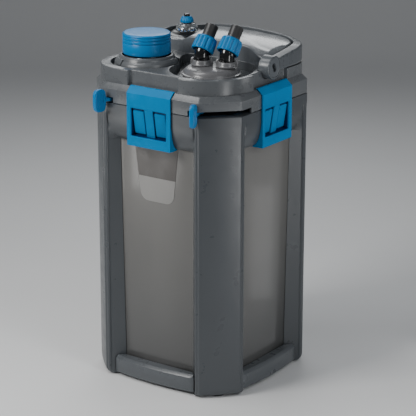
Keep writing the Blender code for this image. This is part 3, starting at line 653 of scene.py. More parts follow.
def label(name, z0, z1, mat, out):
    rows = []
    steps = sorted(set([z0, z1] + [257.0 + 11.0 * (1 - math.cos(a)) for a in np.linspace(0, math.pi / 2, 9) if z0 < 257.0 + 11.0 * (1 - math.cos(a)) < z1]))
    for z in steps:
        t = (z - 257.0) / 77.0
        x0, x1 = -24.5 - 10.0 * t, 27.0 + 8.5 * t
        h = max(0.0, 11.0 - (z - 257.0))
        r = 11.0 - math.sqrt(max(0.0, 121.0 - h * h))
        rows.append([(x0 + r + (x1 - x0 - 2 * r) * i / 24, z) for i in range(25)])
    verts, faces = [], []
    m = len(rows)
    for d in (out, 0.05):
        for row in rows:
            verts += [(x, panel_y(x, z) - d, z) for x, z in row]
    def vid(layer, i, j):
        return layer * m * 25 + i * 25 + j
    for i in range(m - 1):
        for j in range(24):
            faces.append((vid(0, i, j), vid(0, i, j + 1), vid(0, i + 1, j + 1), vid(0, i + 1, j)))
            faces.append((vid(1, i, j), vid(1, i + 1, j), vid(1, i + 1, j + 1), vid(1, i, j + 1)))
    for j in range(24):
        faces.append((vid(0, 0, j), vid(1, 0, j), vid(1, 0, j + 1), vid(0, 0, j + 1)))
        faces.append((vid(0, m - 1, j), vid(0, m - 1, j + 1), vid(1, m - 1, j + 1), vid(1, m - 1, j)))
    for i in range(m - 1):
        faces.append((vid(0, i, 0), vid(0, i + 1, 0), vid(1, i + 1, 0), vid(1, i, 0)))
        faces.append((vid(0, i, 24), vid(1, i, 24), vid(1, i + 1, 24), vid(0, i + 1, 24)))
    return mesh(name, verts, faces, mat)


ride(label("label_upper", 290.0, 334.0, LABEL_TOP, 0.42), "canister", "label", "label_plate")
ride(label("label_lower", 257.0, 289.9, LABEL_LOW, 0.45), "canister", "label")

# ------------------------------------------------------------------ head
HOOD_SIDE, HOOD_BACK, HOOD_CORNER = 97.5, 95.0, 40.0


def hood_front(d=0.0):
    pts = [(-HOOD_SIDE, 4.0)] + list(reversed(arc(CAP[0], CAP[1], 72.0, 78.0, 124.0, 24)))[:-1]
    right = spline([(CAP[0] + 72 * math.cos(math.radians(78)), CAP[1] + 72 * math.sin(math.radians(78))), (-20.0, 20.6), (10.0, 21.2), (40.0, 20.6), (60.0, 18.6), (72.0, 14.2), (82.0, 8.0), (90.0, 5.0), (HOOD_SIDE, 4.0)], 4)
    return [(x, y - d) for x, y in pts + right]


def hood_outline():
    r = HOOD_CORNER
    return hood_front() + arc(HOOD_SIDE - r, HOOD_BACK - r, r, 0, 90, 24) + arc(r - HOOD_SIDE, HOOD_BACK - r, r, 90, 180, 24)


def tier2(h, rec, rf, rl, rr, half=38.2, fil=2.0):
    c, e, l = h - rf, h - rr, h - rl
    pts = [(-half - 1.6, -h, fil), (-half, -rec, 1.6), (half, -rec, 1.6), (half + 1.6, -h, fil)]
    pts += arc(c, -c, rf, -90, 0, 36)
    pts += [(h, -half - 1.6, fil), (rec, -half, 1.6), (rec, half, 1.6), (h, half + 1.6, fil)]
    pts += arc(e, e, rr, 0, 90, 28)
    pts += [(half + 1.6, h, fil), (half, rec, 1.6), (-half, rec, 1.6), (-half - 1.6, h, fil)]
    pts += arc(-e, e, rr, 90, 180, 28)
    pts += [(-h, half + 1.6, fil), (-rec, half, 1.6), (-rec, -half, 1.6), (-h, -half - 1.6, fil)]
    pts += arc(-l, -l, rl, 180, 270, 36)
    return tidy(soft(pts, 5), 0.08)


def well_outline():
    x, y, r = WELL
    pts = arc(x, y, r, -174, 22, 80)
    rear = spline([pts[-1], (93.5, -12.0), (88.0, -2.0), (80.5, 6.3), (71.5, 12.6), (59.5, 17.2), (40.0, 19.2), (10.0, 19.8), (-20.0, 19.2), (-33.0, 17.6)], 4)
    left = spline([(-34.6, 13.5), (-33.0, 3.0), (-27.0, -11.0), (-18.5, -25.0), (-10.5, -40.0), pts[0]], 5)
    return tidy(pts + rear[1:] + [(-34.6, 16.4)] + left[:-1], 0.3)


def flare(name, outline, z0, zrim, mat=None, r=1.2, top=475.0):
    """Cutter with a rounded flare, so that the cut's rim is filleted."""
    rs = [at(outline, z0), at(outline, zrim - r)]
    for a in (30, 60, 90):
        t = math.radians(a)
        rs.append(at(offset(outline, -r * (1 - math.cos(t))), zrim - r + r * math.sin(t)))
    rs.append(at(offset(outline, -r), top))
    return loft(name, rs, mat)


skirt_rings = []
for z, d in ((385.0, 1.3), (385.45, 0.4), (386.0, 0.0), (403.6, 0.0), (404.0, 0.1), (404.4, 0.4), (409.9, 6.3), (410.3, 6.8), (410.6, 7.4)):
    skirt_rings.append(at(octagon(HALF - d, CHAMFER - 0.586 * d, 6.0), z))
head = loft("head_shell", skirt_rings, HEAD, angle=24)
upper_out = tier2(HALF - 7, 104.5, 65.0, 51.5, 50.0)
ur = [at(upper_out, 406.0), at(upper_out, DECK - 1.5)]
for a in (25, 50, 70, 90):
    t = math.radians(a)
    ur.append(at(offset(upper_out, 1.4 * (1 - math.cos(t))), DECK - 1.5 + 1.5 * math.sin(t)))
upper = loft("head_upper", ur, None)
carve(head, [upper], "UNION", 24)
hf = hood_front(0.4)
rear = prism("rear_cut", [(-140.0, 4.2)] + [(-98.5, 4.2)] + hf[1:-1] + [(98.5, 4.2), (140.0, 4.2), (140.0, 140.0), (-140.0, 140.0)], LEDGE, 470.0)
well = well_outline()
well_cut = flare("well_cut", well, 418.0, DECK)
pocket_cut = flare("pocket_cut", arc(POCKET[0], POCKET[1], POCKET[2], 0, 360, 96)[:-1], 416.0, DECK)
cavity = prism("cavity", octagon(114.2, 38.6), 380.0, 403.0)
cavity2 = prism("cavity2", tier2(96.0, 95.0, 55.0, 42.0, 41.0, 38.2, 0.3), 401.0, 421.0)
keep1 = prism("well_wall", offset(well, -3.2), 414.4, 425.0)
keep2 = disc("pocket_wall", POCKET[0], POCKET[1], POCKET[2] + 3.0, 412.4, 425.0, 96)
carve(cavity2, [keep1, keep2])
RY = Matrix.Rotation(math.pi / 2, 4, 'Y')
LY = Matrix.Rotation(-math.pi / 2, 4, 'Y')
boss_cuts = [lathe("boss_cut%d" % i, [(0, 98.6), (16.2, 98.6), (16.2, 109.6), (16.6, 110.1), (17.2, 110.5), (17.2, 130), (0, 130)], 72, None, move(0, 0, AXIS_Z) @ m) for i, m in enumerate((RY, LY))]


def sector(name, cx, cy, r0, r1, a0, a1, z0, z1, n=40):
    return prism(name, arc(cx, cy, r1, a0, a1, n) + arc(cx, cy, r0, a1, a0, n), z0, z1)


cuts = [cavity, cavity2, rear, well_cut, pocket_cut, box("motor_hole", (-16.0, 24.0, 410.0), (56.0, 92.5, 440.0)),
        disc("heater_hole", HEATER[0], HEATER[1], 14.0, 410.0, 440.0, 48), disc("port_hole", WELL[0], WELL[1], 38.4, 405.0, 430.0, 96),
        disc("barrel_hole", CAP[0], CAP[1], 25.0, 405.0, 430.0, 64)] + boss_cuts
cuts += [sector("slot_front", WELL[0], WELL[1], 60.0, 100.0, -79.5, -9.5, 380.0, 392.8), sector("slot_left", CAP[0], CAP[1], 58.0, 100.0, -172.5, -95.0, 380.0, 392.8),
         lathe("gland_hole", [(0, 90), (7.4, 90), (7.4, 130), (0, 130)], 48, None, move(-62, 0, 396) @ Matrix.Rotation(-math.pi / 2, 4, 'X'))]
carve(head, cuts, angle=26)
ride(head, "canister", "grey_plastic", "head_housing")


# ------------------------------------------------------------------ pump hood, a crowned height field with a rounded rim
def distances(P, outline):
    A = np.array(outline, float)
    B = np.roll(A, -1, axis=0)
    P = np.asarray(P, float)
    best = np.full(len(P), 1e9)
    for a, b in zip(A, B):
        ab = b - a
        t = np.clip(((P - a) @ ab) / max(1e-9, ab @ ab), 0, 1)
        best = np.minimum(best, np.hypot(*(P - (a + t[:, None] * ab)).T))
    return best


def inside(P, outline):
    P = np.asarray(P, float)
    A = np.array(outline, float)
    B = np.roll(A, -1, axis=0)
    c = np.zeros(len(P), bool)
    for (ax, ay), (bx, by) in zip(A, B):
        m = ((ay > P[:, 1]) != (by > P[:, 1]))
        with np.errstate(divide='ignore', invalid='ignore'):
            xs = (bx - ax) * (P[:, 1] - ay) / (by - ay) + ax
        c ^= m & (P[:, 0] < xs)
    return c


def field(name, outline, zfun, z0, ring_steps, step, mat, lines=()):
    """Closed body: flat bottom at z0, vertical wall on the outline, top at zfun(points, distance to the wall)."""
    outline = tidy(outline, 0.3)
    n = len(outline)
    pts = list(outline)
    for d in ring_steps:
        q = offset(outline, d)
        dd = distances(q, outline)
        ok = inside(q, outline)
        kept = [p for p, e, i in zip(q, dd, ok) if e > 0.92 * d and i]
        pts += kept
    A = np.array(outline)
    gx = np.arange(A[:, 0].min(), A[:, 0].max(), step)
    gy = np.arange(A[:, 1].min(), A[:, 1].max(), step)
    G = np.array([(x + (0.5 * step if j % 2 else 0.0), y) for j, y in enumerate(gy) for x in gx])
    keep = inside(G, outline) & (distances(G, outline) > ring_steps[-1] + 0.45 * step)
    pts += [tuple(p) for p in G[keep]]
    v2, _, f2, *_ = delaunay_2d_cdt([Vector(p) for p in pts], [], [list(range(n))], 1, 1e-6)
    P = np.array([tuple(v) for v in v2])
    D = distances(P, outline)
    D[D < 1e-3] = 0.0
    Z = zfun(P, D)
    verts = [(x, y, z) for (x, y), z in zip(P, Z)]
    faces = [tuple(f) for f in f2]
    ids = []
    for p in outline:
        ids.append(int(np.argmin(np.hypot(P[:, 0] - p[0], P[:, 1] - p[1]))))
    b0 = len(verts)
    verts += [(p[0], p[1], z0) for p in outline]
    for i in range(n):
        j = (i + 1) % n
        faces.append((ids[j], ids[i], b0 + i, b0 + j))
    faces.append(tuple(b0 + i for i in reversed(range(n))))
    return mesh(name, verts, faces, mat, 28)


def step01(t):
    t = np.clip(t, 0, 1)
    return t * t * (3 - 2 * t)


def hood_top(P, D, drop=0.0, R=2.0):
    x, y = P[:, 0], P[:, 1]
    z = 459.0 - drop - 7.5 * (np.abs(x) / 97.5) ** 2.2 - 7.0 * (np.abs(y - 62.0) / 48.0) ** 2.0
    # low bay for the heater at the rear left, with an S-shaped rise beside it
    low = 443.2 - drop
    tx = step01((x + 48.5) / 17.0)
    ty = step01((30.5 - y) / 5.0)
    rim = np.minimum(z, 447.0 - drop)
    side = low + (rim - low) * ty
    z = side + (z - side) * tx
    # shallow panel step across the crown
    if not drop:
        line = (x + 6.0) * 0.42 + (y - 60.0) * 0.91
        z = z - 0.8 * step01(line / 4.5) * step01((y - 22) / 6.0) * tx
    r = np.maximum(0.0, R - D)
    return z - (R - np.sqrt(np.maximum(0.0, R * R - r * r)))


ho = hood_outline()
hood = field("hood_shell", ho, lambda P, D: hood_top(P, D), LEDGE + 0.4, (0.08, 0.3, 0.65, 1.1, 1.6, 2.2, 3.6), 3.0, LIGHT)
hollow = field("hood_inside", offset(tidy(ho, 0.3), 2.6), lambda P, D: hood_top(P, D, 3.0, 2.0), 420.0, (1.0, 2.5), 6.0, None)
carve(hood, [hollow, disc("hood_heater_hole", HEATER[0], HEATER[1], 12.0, 430.0, 470.0, 48)], angle=28)
ride(hood, "canister", "light_grey_plastic", "pump_hood")

# ------------------------------------------------------------------ heater platform
mount_out = tidy(soft([(-49.0, 36.2, 2.0), (-46.9, 39.0, 2.0), (-46.9, 94.4, 2.0)] + [(x, y, 0) for x, y in arc(HOOD_CORNER - HOOD_SIDE, HOOD_BACK - HOOD_CORNER, 39.6, 90, 180, 24)] + [(-97.1, 31.4, 1.0)], 4), 0.1)


def mount_top(P, D):
    q = np.hypot(P[:, 0] - HEATER[0], P[:, 1] - HEATER[1])
    z = 444.6 + 4.0 * step01((27.0 - q) / 11.0)
    r = np.maximum(0.0, 1.0 - D)
    return z - (1.0 - np.sqrt(np.maximum(0.0, 1.0 - r * r)))


mount = field("heater_platform", mount_out, mount_top, 443.5, (0.12, 0.5, 1.0, 2.0), 2.5, BLACK)
carve(mount, [disc("mount_hole", HEATER[0], HEATER[1], 11.6, 430, 460, 48)], angle=28)
ride(mount, "canister", "gloss_black_plastic", "heater_mount")

# ------------------------------------------------------------------ carry handle
path = [(106.0, 6.0), (106.0, 14.0), (106.0, 22.0), (106.0, 34.0), (106.0, 45.0)] + arc(54.0, 55.0, 52.0, 0, 90, 30) + [(40.0, 107.0), (26.0, 107.0), (13.0, 107.0), (0.0, 107.0)]
path += [(-x, y) for x, y in reversed(path[:-1])]
hr = []
for i, (x, y) in enumerate(path):
    a = Vector(path[max(0, i - 1)])
    b = Vector(path[min(len(path) - 1, i + 1)])
    t = (b - a).normalized()
    nrm = Vector((t.y, -t.x))
    if i in (0, len(path) - 1):
        nrm = Vector((1 if x > 0 else -1, 0))
    f = min(1.0, max(0.0, (y - 6.0) / 62.0))
    g = min(1.0, max(0.0, (y - 70.0) / 30.0))
    g = g * g * (3 - 2 * g)
    low, top = 427.5 - 1.3 * min(1, f * 3), 443.0 + 8.0 * f + 6.0 * g * max(0.0, 1 - (x / 80.0) ** 2)
    w = 6.0
    sec = soft([(-w, low + 0.2, 1.6), (w - 0.8, low + 0.2, 1.6), (w, low + 2.6, 0.8), (w, top - 4.8, 0.8), (w - 1.0, top - 2.0, 1.6), (-w + 2.2, top - 0.2, 1.2), (-w + 0.9, top, 0.5), (-w, top - 0.9, 0.6)], 4)
    hr.append([(x + nrm.x * u, y + nrm.y * u, v) for u, v in sec])
handle = loft("handle_bail", hr, GREY, angle=26)
bosses = []
for i, m in enumerate((RY, LY)):
    prof = [(0, 99.4), (14.7, 99.4), (15.3, 100.0), (15.3, 114.6), (15.15, 115.1), (14.8, 115.4), (14.3, 115.5), (13.7, 115.4), (13.45, 115.1), (13.3, 114.7), (12.9, 114.6), (12.6, 114.8), (12.3, 115.0), (0, 115.0)]
    bosses.append(lathe("boss%d" % i, prof, 72, None, move(0, 0, AXIS_Z) @ m, angle=26))
carve(handle, bosses, "UNION", 26)
holes = []
for i, m in enumerate((RY, LY)):
    fr = move(0, 0, AXIS_Z) @ m
    holes.append(lathe("bore%d" % i, [(0, 90), (5.3, 90), (5.3, 112.2), (0, 112.2)], 40, None, fr))
    for q, dx in enumerate((-2.6, 2.6)):
        holes.append(lathe("key%d%d" % (i, q), [(0, 111.0), (3.5, 111.0), (3.5, 114.2), (3.9, 114.8), (4.4, 120), (0, 120)], 40, None, fr @ Matrix.Rotation(math.radians(24.0 if i == 0 else -24.0), 4, 'Z') @ move(dx, 0)))
carve(handle, holes, angle=26)
ride(handle, "carry_handle_bail", "grey_plastic", "carry_handle")
for nm, m in (("right", RY), ("left", LY)):
    fr = move(0, 0, AXIS_Z) @ m
    pin = lathe("pivot_" + nm, [(0, 99.1), (4.2, 99.1), (4.5, 99.4), (4.5, 108.6), (4.2, 108.9), (0, 108.9)], 40, GLOSS, fr)
    ride(pin, "canister", "steel", "handle_pivot_" + nm)

# ------------------------------------------------------------------ prime pump
M = move(CAP[0], CAP[1])
prof = [(0, 470.0), (12.0, 469.95), (22.0, 469.8), (27.5, 469.6), (29.6, 469.3), (30.9, 468.8), (31.7, 468.0), (32.0, 467.1), (31.9, 466.75), (31.1, 466.5), (30.9, 466.2), (31.1, 465.8)]
prof += [(31.8, 465.55), (32.0, 465.2), (32.0, 462.9), (31.85, 462.55), (31.1, 462.3), (30.9, 462.0), (31.1, 461.6), (31.8, 461.35), (32.0, 461.0), (32.0, 458.5), (31.85, 458.15), (31.1, 457.9), (30.9, 457.6), (31.1, 457.2), (31.8, 456.95), (32.0, 456.6)]
prof += [(32.0, 443.4), (31.8, 442.4), (31.3, 441.7), (30.6, 441.4), (29.0, 441.4), (28.6, 441.7), (28.6, 465.2), (28.0, 465.8), (0, 465.8)]
ride(lathe("cap_button", prof[::-1], 112, BLUE, M, angle=40), "prime_cap_button", "blue_plastic", "prime_cap")
# return spring, given a mesh of its own
coil = []
for i in range(4 * 30 + 1):
    a = 2 * math.pi * i / 30
    e = Vector((math.cos(a), math.sin(a), 0))
    c = Vector((CAP[0], CAP[1], 418.1 + 45.8 * i / 120)) + e * 26.3
    coil.append([tuple(c + e * (0.85 * math.cos(b)) + Vector((0, 0, 0.85 * math.sin(b)))) for b in [math.pi / 4 * q for q in range(8)]])
spring = ride(loft("return_spring", coil, STEEL, angle=60), "canister", "steel", "prime_spring")
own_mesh(spring)
col = [(32.7, 416.4), (43.3, 416.4), (43.4, 416.8), (43.4, 426.4), (43.2, 427.3), (42.6, 428.0), (42.0, 428.6), (41.8, 429.6), (41.2, 431.2), (40.2, 432.8), (39.0, 434.0), (38.0, 434.6), (37.7, 435.2),
       (37.4, 436.8), (36.6, 438.3), (35.6, 439.5), (34.6, 440.2), (33.6, 440.4), (33.0, 440.3), (32.7, 439.9)]
pc = lathe("primer_collar", col, 112, HEAD, M, ring=True, angle=28)
ride(pc, "canister", "grey_plastic", "prime_collar")
for i, a0 in enumerate((-62.0, 58.0, 178.0)):
    rows = []
    n = 26
    for q in range(n + 1):
        a = math.radians(a0 + 74.0 * q / n)
        h = 1.9 * min(1.0, q / n * 1.6) * (1.0 if q < n else 0.98) + 0.25
        sec = soft([(36.0, 432.6, 0.2), (42.2, 428.4, 0.3), (42.9, 428.4 + h * 0.9, 0.5), (41.6, 431.6 + h, 0.7), (38.6, 434.8 + h, 0.6), (37.0, 435.6 + h * 0.6, 0.3)], 3)
        rows.append([(CAP[0] + r * math.cos(a), CAP[1] + r * math.sin(a), z) for r, z in sec])
    ride(loft("bayonet_ramp_%d" % (i + 1), rows, HEAD, angle=28), "canister", "grey_plastic")

# ------------------------------------------------------------------ connector plate, elbows, union nuts, hose tails
PX, PY = WELL[0], WELL[1]
prof = [(0, 436.3), (14.0, 436.2), (24.0, 435.7), (29.5, 434.9), (31.0, 434.5), (31.5, 433.9), (32.2, 433.7), (34.2, 432.2), (36.0, 430.1), (36.9, 428.6), (37.2, 427.9), (37.9, 427.6), (38.9, 427.3), (39.2, 426.7), (39.1, 425.5), (38.5, 424.8), (37.6, 424.4), (37.6, 398.4), (37.2, 398.0), (0, 398.0)]
plate = lathe("connector_disc", prof[::-1], 128, GLOSSGREY, move(PX, PY), angle=26)
carve(plate, [disc("port%d" % i, x, y, 7.0, 380.0, 450.0, 48) for i, (x, y) in enumerate((INLET, OUTLET))], angle=26)
ride(plate, "canister", "gloss_grey_plastic", "connector_plate")
TILT, TURN, BEND_Z = math.radians(36.0), math.radians(3.0), 453.7
sa, ca = math.sin(TURN), math.cos(TURN)
DIR = Vector((sa * math.sin(TILT), ca * math.sin(TILT), math.cos(TILT)))


def elbow_frame(x, y):
    w = DIR
    u = Vector((ca, -sa, 0.0))
    v = w.cross(u)
    m = Matrix((u, v, w)).transposed().to_4x4()
    m.translation = Vector((x, y, BEND_Z))
    return m


def elbow(name, x, y):
    R, n = 11.0, 10
    d = R * math.tan(TILT / 2)
    h, up = Vector((sa, ca, 0)), Vector((0, 0, 1))
    p0 = Vector((x, y, BEND_Z))
    c = p0 - up * d + h * R
    axis = [(Vector((x, y, 436.6)), 0.0, 9.6), (Vector((x, y, 437.1)), 0.0, 9.9), (Vector((x, y, 449.2)), 0.0, 9.9)]
    for i in range(n + 1):
        t = TILT * i / n
        axis.append((c - h * (R * math.cos(t)) + up * (R * math.sin(t)), t, 9.9))
    axis += [(p0 + DIR * 5.2, TILT, 9.9), (p0 + DIR * 8.2, TILT, 9.9), (p0 + DIR * 9.6, TILT, 9.4)]
    side = Vector((ca, -sa, 0))
    out, inn = [], []
    for p, t, r in axis:
        w = h * math.sin(t) + up * math.cos(t)
        v = w.cross(side)
        for rr, store in ((r, out), (7.0, inn)):
            store.append([tuple(p + side * (rr * math.cos(2 * math.pi * j / 56)) + v * (rr * math.sin(2 * math.pi * j / 56))) for j in range(56)])
    return loft(name, out + inn[::-1], GLOSS, loop=True, angle=40)


def nut_radius(a, r, z):
    """Twelve broad grip ribs with narrow flutes between them, under a plain lip."""
    if r < 13.0 or not 1.2 < z < 16.4:
        return r if r < 13.0 else r - 0.15
    q = (a * 12 / (2 * math.pi)) % 1.0
    groove = math.exp(-((q - 0.5) / 0.14) ** 2)
    crown = 0.25 * math.cos(2 * math.pi * q)
    return r - 1.2 * groove + crown - 0.2


for (x, y), nm in ((INLET, "inlet"), (OUTLET, "outlet")):
    ride(elbow("bend_" + nm, x, y), nm + "_elbow", "gloss_black_plastic", "elbow_" + nm)
    rp = [(10.3, 436.5), (12.3, 436.5), (13.9, 436.6), (14.2, 437.0), (14.1, 437.6), (13.3, 438.0), (12.8, 438.6), (12.4, 440.2), (11.9, 441.8), (11.4, 442.9), (11.0, 443.3), (10.6, 443.4), (10.3, 443.1)]
    ring = lathe("socket_ring_" + nm, rp, 72, GLOSSGREY, move(x, y), ring=True, angle=28)
    ride(ring, "canister", "gloss_grey_plastic", "elbow_ring_" + nm)
    for q, ang in enumerate((205.0, 25.0)):
        a = math.radians(ang)
        e, t = Vector((math.cos(a), math.sin(a))), Vector((-math.sin(a), math.cos(a)))
        rows = []
        for z, g in ((437.2, 0.6), (437.8, 0.1), (442.6, 0.0), (444.6, 0.4), (445.6, 1.2)):
            o = soft([(10.9, -3.0, 0.2), (14.8 - g, -2.5 + g, 1.3), (14.8 - g, 2.5 - g, 1.3), (10.9, 3.0, 0.2)], 4)
            rows.append([(x + e.x * r + t.x * u, y + e.y * r + t.y * u, z) for r, u in o])
        ride(loft("latch_ear_%s_%d" % (nm, q + 1), rows, GLOSSGREY, angle=30), "canister", "gloss_grey_plastic")
    f = elbow_frame(x, y)
    np_ = [(12.5, 0.3), (14.2, 0.3), (14.7, 0.55), (14.95, 1.1), (14.9, 2.0), (14.85, 3.0), (14.6, 8.0), (14.35, 13.0), (14.2, 15.4), (14.1, 16.3), (14.05, 17.2), (13.9, 18.2), (13.5, 19.0), (12.8, 19.5), (12.0, 19.6), (9.6, 19.6), (9.0, 19.1), (9.0, 17.2), (9.4, 17.0), (10.6, 17.0), (10.6, 9.2), (12.5, 7.2)]
    nut = lathe("nut_" + nm, np_, 144, BLUE, f, ring=True, angle=38, wobble=nut_radius)
    ride(nut, nm + "_nut", "blue_plastic", "union_nut_" + nm)
    tp = [(6.0, 10.4), (9.9, 10.4), (9.9, 13.0), (8.5, 13.6), (8.5, 21.4), (8.8, 22.1), (8.8, 22.8), (8.5, 23.5), (8.5, 36.4), (8.3, 37.2), (7.8, 37.6), (6.5, 37.6), (6.0, 37.1)]
    tail = lathe("tail_" + nm, tp, 64, MATT, f, ring=True, angle=28)
    ride(tail, nm + "_elbow", "matt_black_plastic", "hose_tail_" + nm)


# ------------------------------------------------------------------ lock levers
def lock_lever(name, node, body, cx, cy, angle, r0, r1, r_arm, p0, p1):
    ring = lathe(name, [(r0, 386.6), (r1, 386.6), (r1, 391.6), (r0, 391.6)], 72, BLUE, move(cx, cy), ring=True)
    a = math.radians(angle)
    e, t = Vector((math.cos(a), math.sin(a))), Vector((-math.sin(a), math.cos(a)))

    def pt(r, u, z):
        return (cx + e.x * r + t.x * u, cy + e.y * r + t.y * u, z)
    arms = []
    rows = []
    for r, hw in ((r1 - 2.5, 7.0), (r1 + 10.0, 5.4), (r_arm - 16.0, 3.5), (r_arm - 9.0, 3.2), (r_arm - 7.0, 3.2), (r_arm - 5.0, 2.6), (r_arm - 2.0, 2.6), (r_arm, 3.4), (r_arm + 2.5, 4.2)):
        hz = 2.2 if r < r_arm - 6.0 else 1.9
        sec = soft([(-hw, 389.2 - hz, 0.5), (hw, 389.2 - hz, 0.5), (hw, 389.2 + hz, 0.5), (-hw, 389.2 + hz, 0.5)], 3)
        rows.append([pt(r, u, z) for u, z in sec])
    arms.append(loft(name + "_arm", rows, None))
    mid, half = (p0 + p1) / 2, (p1 - p0) / 2
    rows = []
    for u, k in ((-3.2, 0.84), (-2.95, 0.92), (-2.4, 0.98), (-1.6, 1.0), (1.6, 1.0), (2.4, 0.98), (2.95, 0.92), (3.2, 0.84)):
        row = []
        for j in range(48):
            q = 2 * math.pi * (j + 0.5) / 48
            c, s = math.copysign(abs(math.cos(q)) ** 0.55, math.cos(q)), math.copysign(abs(math.sin(q)) ** 0.60, math.sin(q))
            row.append(pt(mid + half * c * (1 - (1 - k) * 0.8), u, 389.5 + 15.0 * s * (1 - (1 - k) * 0.5)))
        rows.append(row)
    arms.append(loft(name + "_pad", rows, None))
    # grip ribs on both faces
    for u in (-3.5, 3.5):
        for q in range(4):
            rr = mid - 5.4 + 3.6 * q
            hz = 10.5 - 0.35 * abs(q - 1.5) ** 2 * 2.0
            rib = []
            for z, k in ((389.5 - hz, 0.25), (389.5 - hz + 1.2, 1.0), (389.5 + hz - 1.2, 1.0), (389.5 + hz, 0.25)):
                rib.append([pt(rr + 0.75 * k * math.cos(b), u * 0.93 + 0.45 * k * math.sin(b), z) for b in [2 * math.pi * w / 8 for w in range(8)]])
            arms.append(loft(name + "_rib", rib, None))
    carve(ring, arms, "UNION", 28)
    ride(ring, body, "blue_plastic", node)


lock_lever("prefilter_lock_wing", "prefilter_lock_lever", "prefilter_lock", WELL[0], WELL[1], -70.6, 42.8, 50.0, 82.0, 78.0, 95.0)
lock_lever("primer_lock_wing", "primer_lock_lever", "primer_lock", CAP[0], CAP[1], -102.7, 26.0, 33.0, 76.0, 72.6, 91.0)

# ------------------------------------------------------------------ clips
for k, side in enumerate(SIDES):
    sec = [(120.4, 333.6), (120.4, 403.4), (120.1, 404.2), (112.6, 411.1), (111.6, 411.7), (110.4, 412.0), (109.6, 411.9), (109.2, 411.4), (109.5, 410.9), (111.5, 410.9), (118.3, 404.0), (118.3, 335.0)]
    lever = loft("lever_" + side, [place([(x, s, z) for s, z in sec], k) for x in (-34.4, 35.0)], CLIP)
    # side skirts that follow the dished collar
    skirts = []
    for q, (xa, xb) in enumerate(((-34.4, -32.4), (33.0, 35.0))):
        edge = []
        for z in (334.4, 338.0, 343.0, 349.0, 356.0, 362.0):
            d = dish(z)
            s = HALF - d + 2.5 * d / 15.0 * (1 - (35.0 / (68 - 0.62 * d)) ** 2) + 0.55
            edge.append((s, z))
        pl = [(119.5, 333.6)] + [(119.5, 366.0)] + [(118.2, 366.0)] + list(reversed(edge)) + [(edge[0][0] + 0.3, 333.6)]
        skirts.append(loft("skirt%d" % q, [place([(x, s, z) for s, z in pl], k) for x in (xa, xb)], None))
    carve(lever, skirts, "UNION")
    # one wide opening with a bevelled edge, crossed by a leaning middle bar
    w = soft([(-28.0, 346.9, 1.2), (28.0, 346.9, 1.2), (28.0, 384.2, 1.2), (-28.0, 384.2, 1.2)], 3)
    w0 = [(-28.9, 345.9), (28.9, 345.9), (28.9, 385.1), (-28.9, 385.1)]
    w1 = [(-28.0, 347.2), (28.0, 347.2), (28.0, 384.0), (-28.0, 384.0)]
    carve(lever, [loft("window", [place([(x, s, z) for x, z in w], k) for s in (110.0, 130.0)], None),
                  loft("reveal", [place([(x, 120.9, z) for x, z in w0], k), place([(x, 119.6, z) for x, z in w1], k)], None)])
    bar = [(slope(385.2), 385.2), (slope(385.2) - 1.8, 385.2), (slope(346.0) - 1.8, 346.0), (slope(346.0), 346.0)]
    carve(lever, [loft("bar", [place([(x, s, z) for s, z in bar], k) for x in (-6.4, 6.4)], None)], "UNION")
    bevel(lever, 0.4, 2, 34.0)
    ride(lever, "clip_" + side, "blue_plastic", "clip_lever_" + side)
    # dark inner walls and sill of the opening, coloured navy as painted shade
    shelf = [(119.4, 345.2), (119.4, 346.9), (118.9, 347.1), (slope(345.0) - 1.7, 347.1), (slope(345.0) - 1.7, 345.2)]
    well_in = loft("clip_sill_" + side, [place([(x, s, z) for s, z in shelf], k) for x in (-29.9, 29.9)], NAVY_SHADE)
    wall = [(118.6, 384.4), (118.6, 345.6), (slope(345.6) - 1.7, 345.6), (slope(384.4) - 2.0, 384.4)]
    carve(well_in, [loft("wall%d" % q, [place([(x, s, z) for s, z in wall], k) for x in xs], None) for q, xs in enumerate(((-29.9, -28.15), (28.15, 29.9)))], "UNION")
    ride(well_in, "clip_" + side, "blue_plastic")
    # catch plate behind the opening, navy as painted shade
    plan = [(z, a, b) for z, a, b in ((343.2, 0.8, 0.0), (344.0, 0.0, 0.0), (382.2, 0.0, 0.0), (383.0, 0.8, 0.0))]
    rows = []
    for z, a, b in plan:
        o = [(-30.4 + a, slope(z) - 4.0), (30.4 - a, slope(z) - 4.0), (30.4 - a, slope(z) - 3.0), (-30.4 + a, slope(z) - 3.0)]
        rows.append(place([(x, s, z) for x, s in o], k))
    ride(loft("catch_" + side, rows, NAVY_SHADE), "canister", "blue_plastic", "clip_catch_" + side)
    for q, sx in enumerate((-1, 1)):
        rows = []
        for s, g in ((-3.4, 0.0), (-1.5, 0.0), (-0.8, 0.35), (-0.5, 1.2)):
            o = soft([(sx * (8.4 + g), 349.6 + g, 1.2), (sx * (26.2 - g), 349.6 + g, 2.0), (sx * (25.8 - g), 381.2 - g, 2.0), (sx * (8.4 + g), 381.2 - g, 1.2)], 4)
            rows.append(place([(x, slope(z) + s, z) for x, z in o], k))
        ride(loft("catch_pad_%s_%d" % (side, q + 1), rows, CLIP), "canister", "blue_plastic")

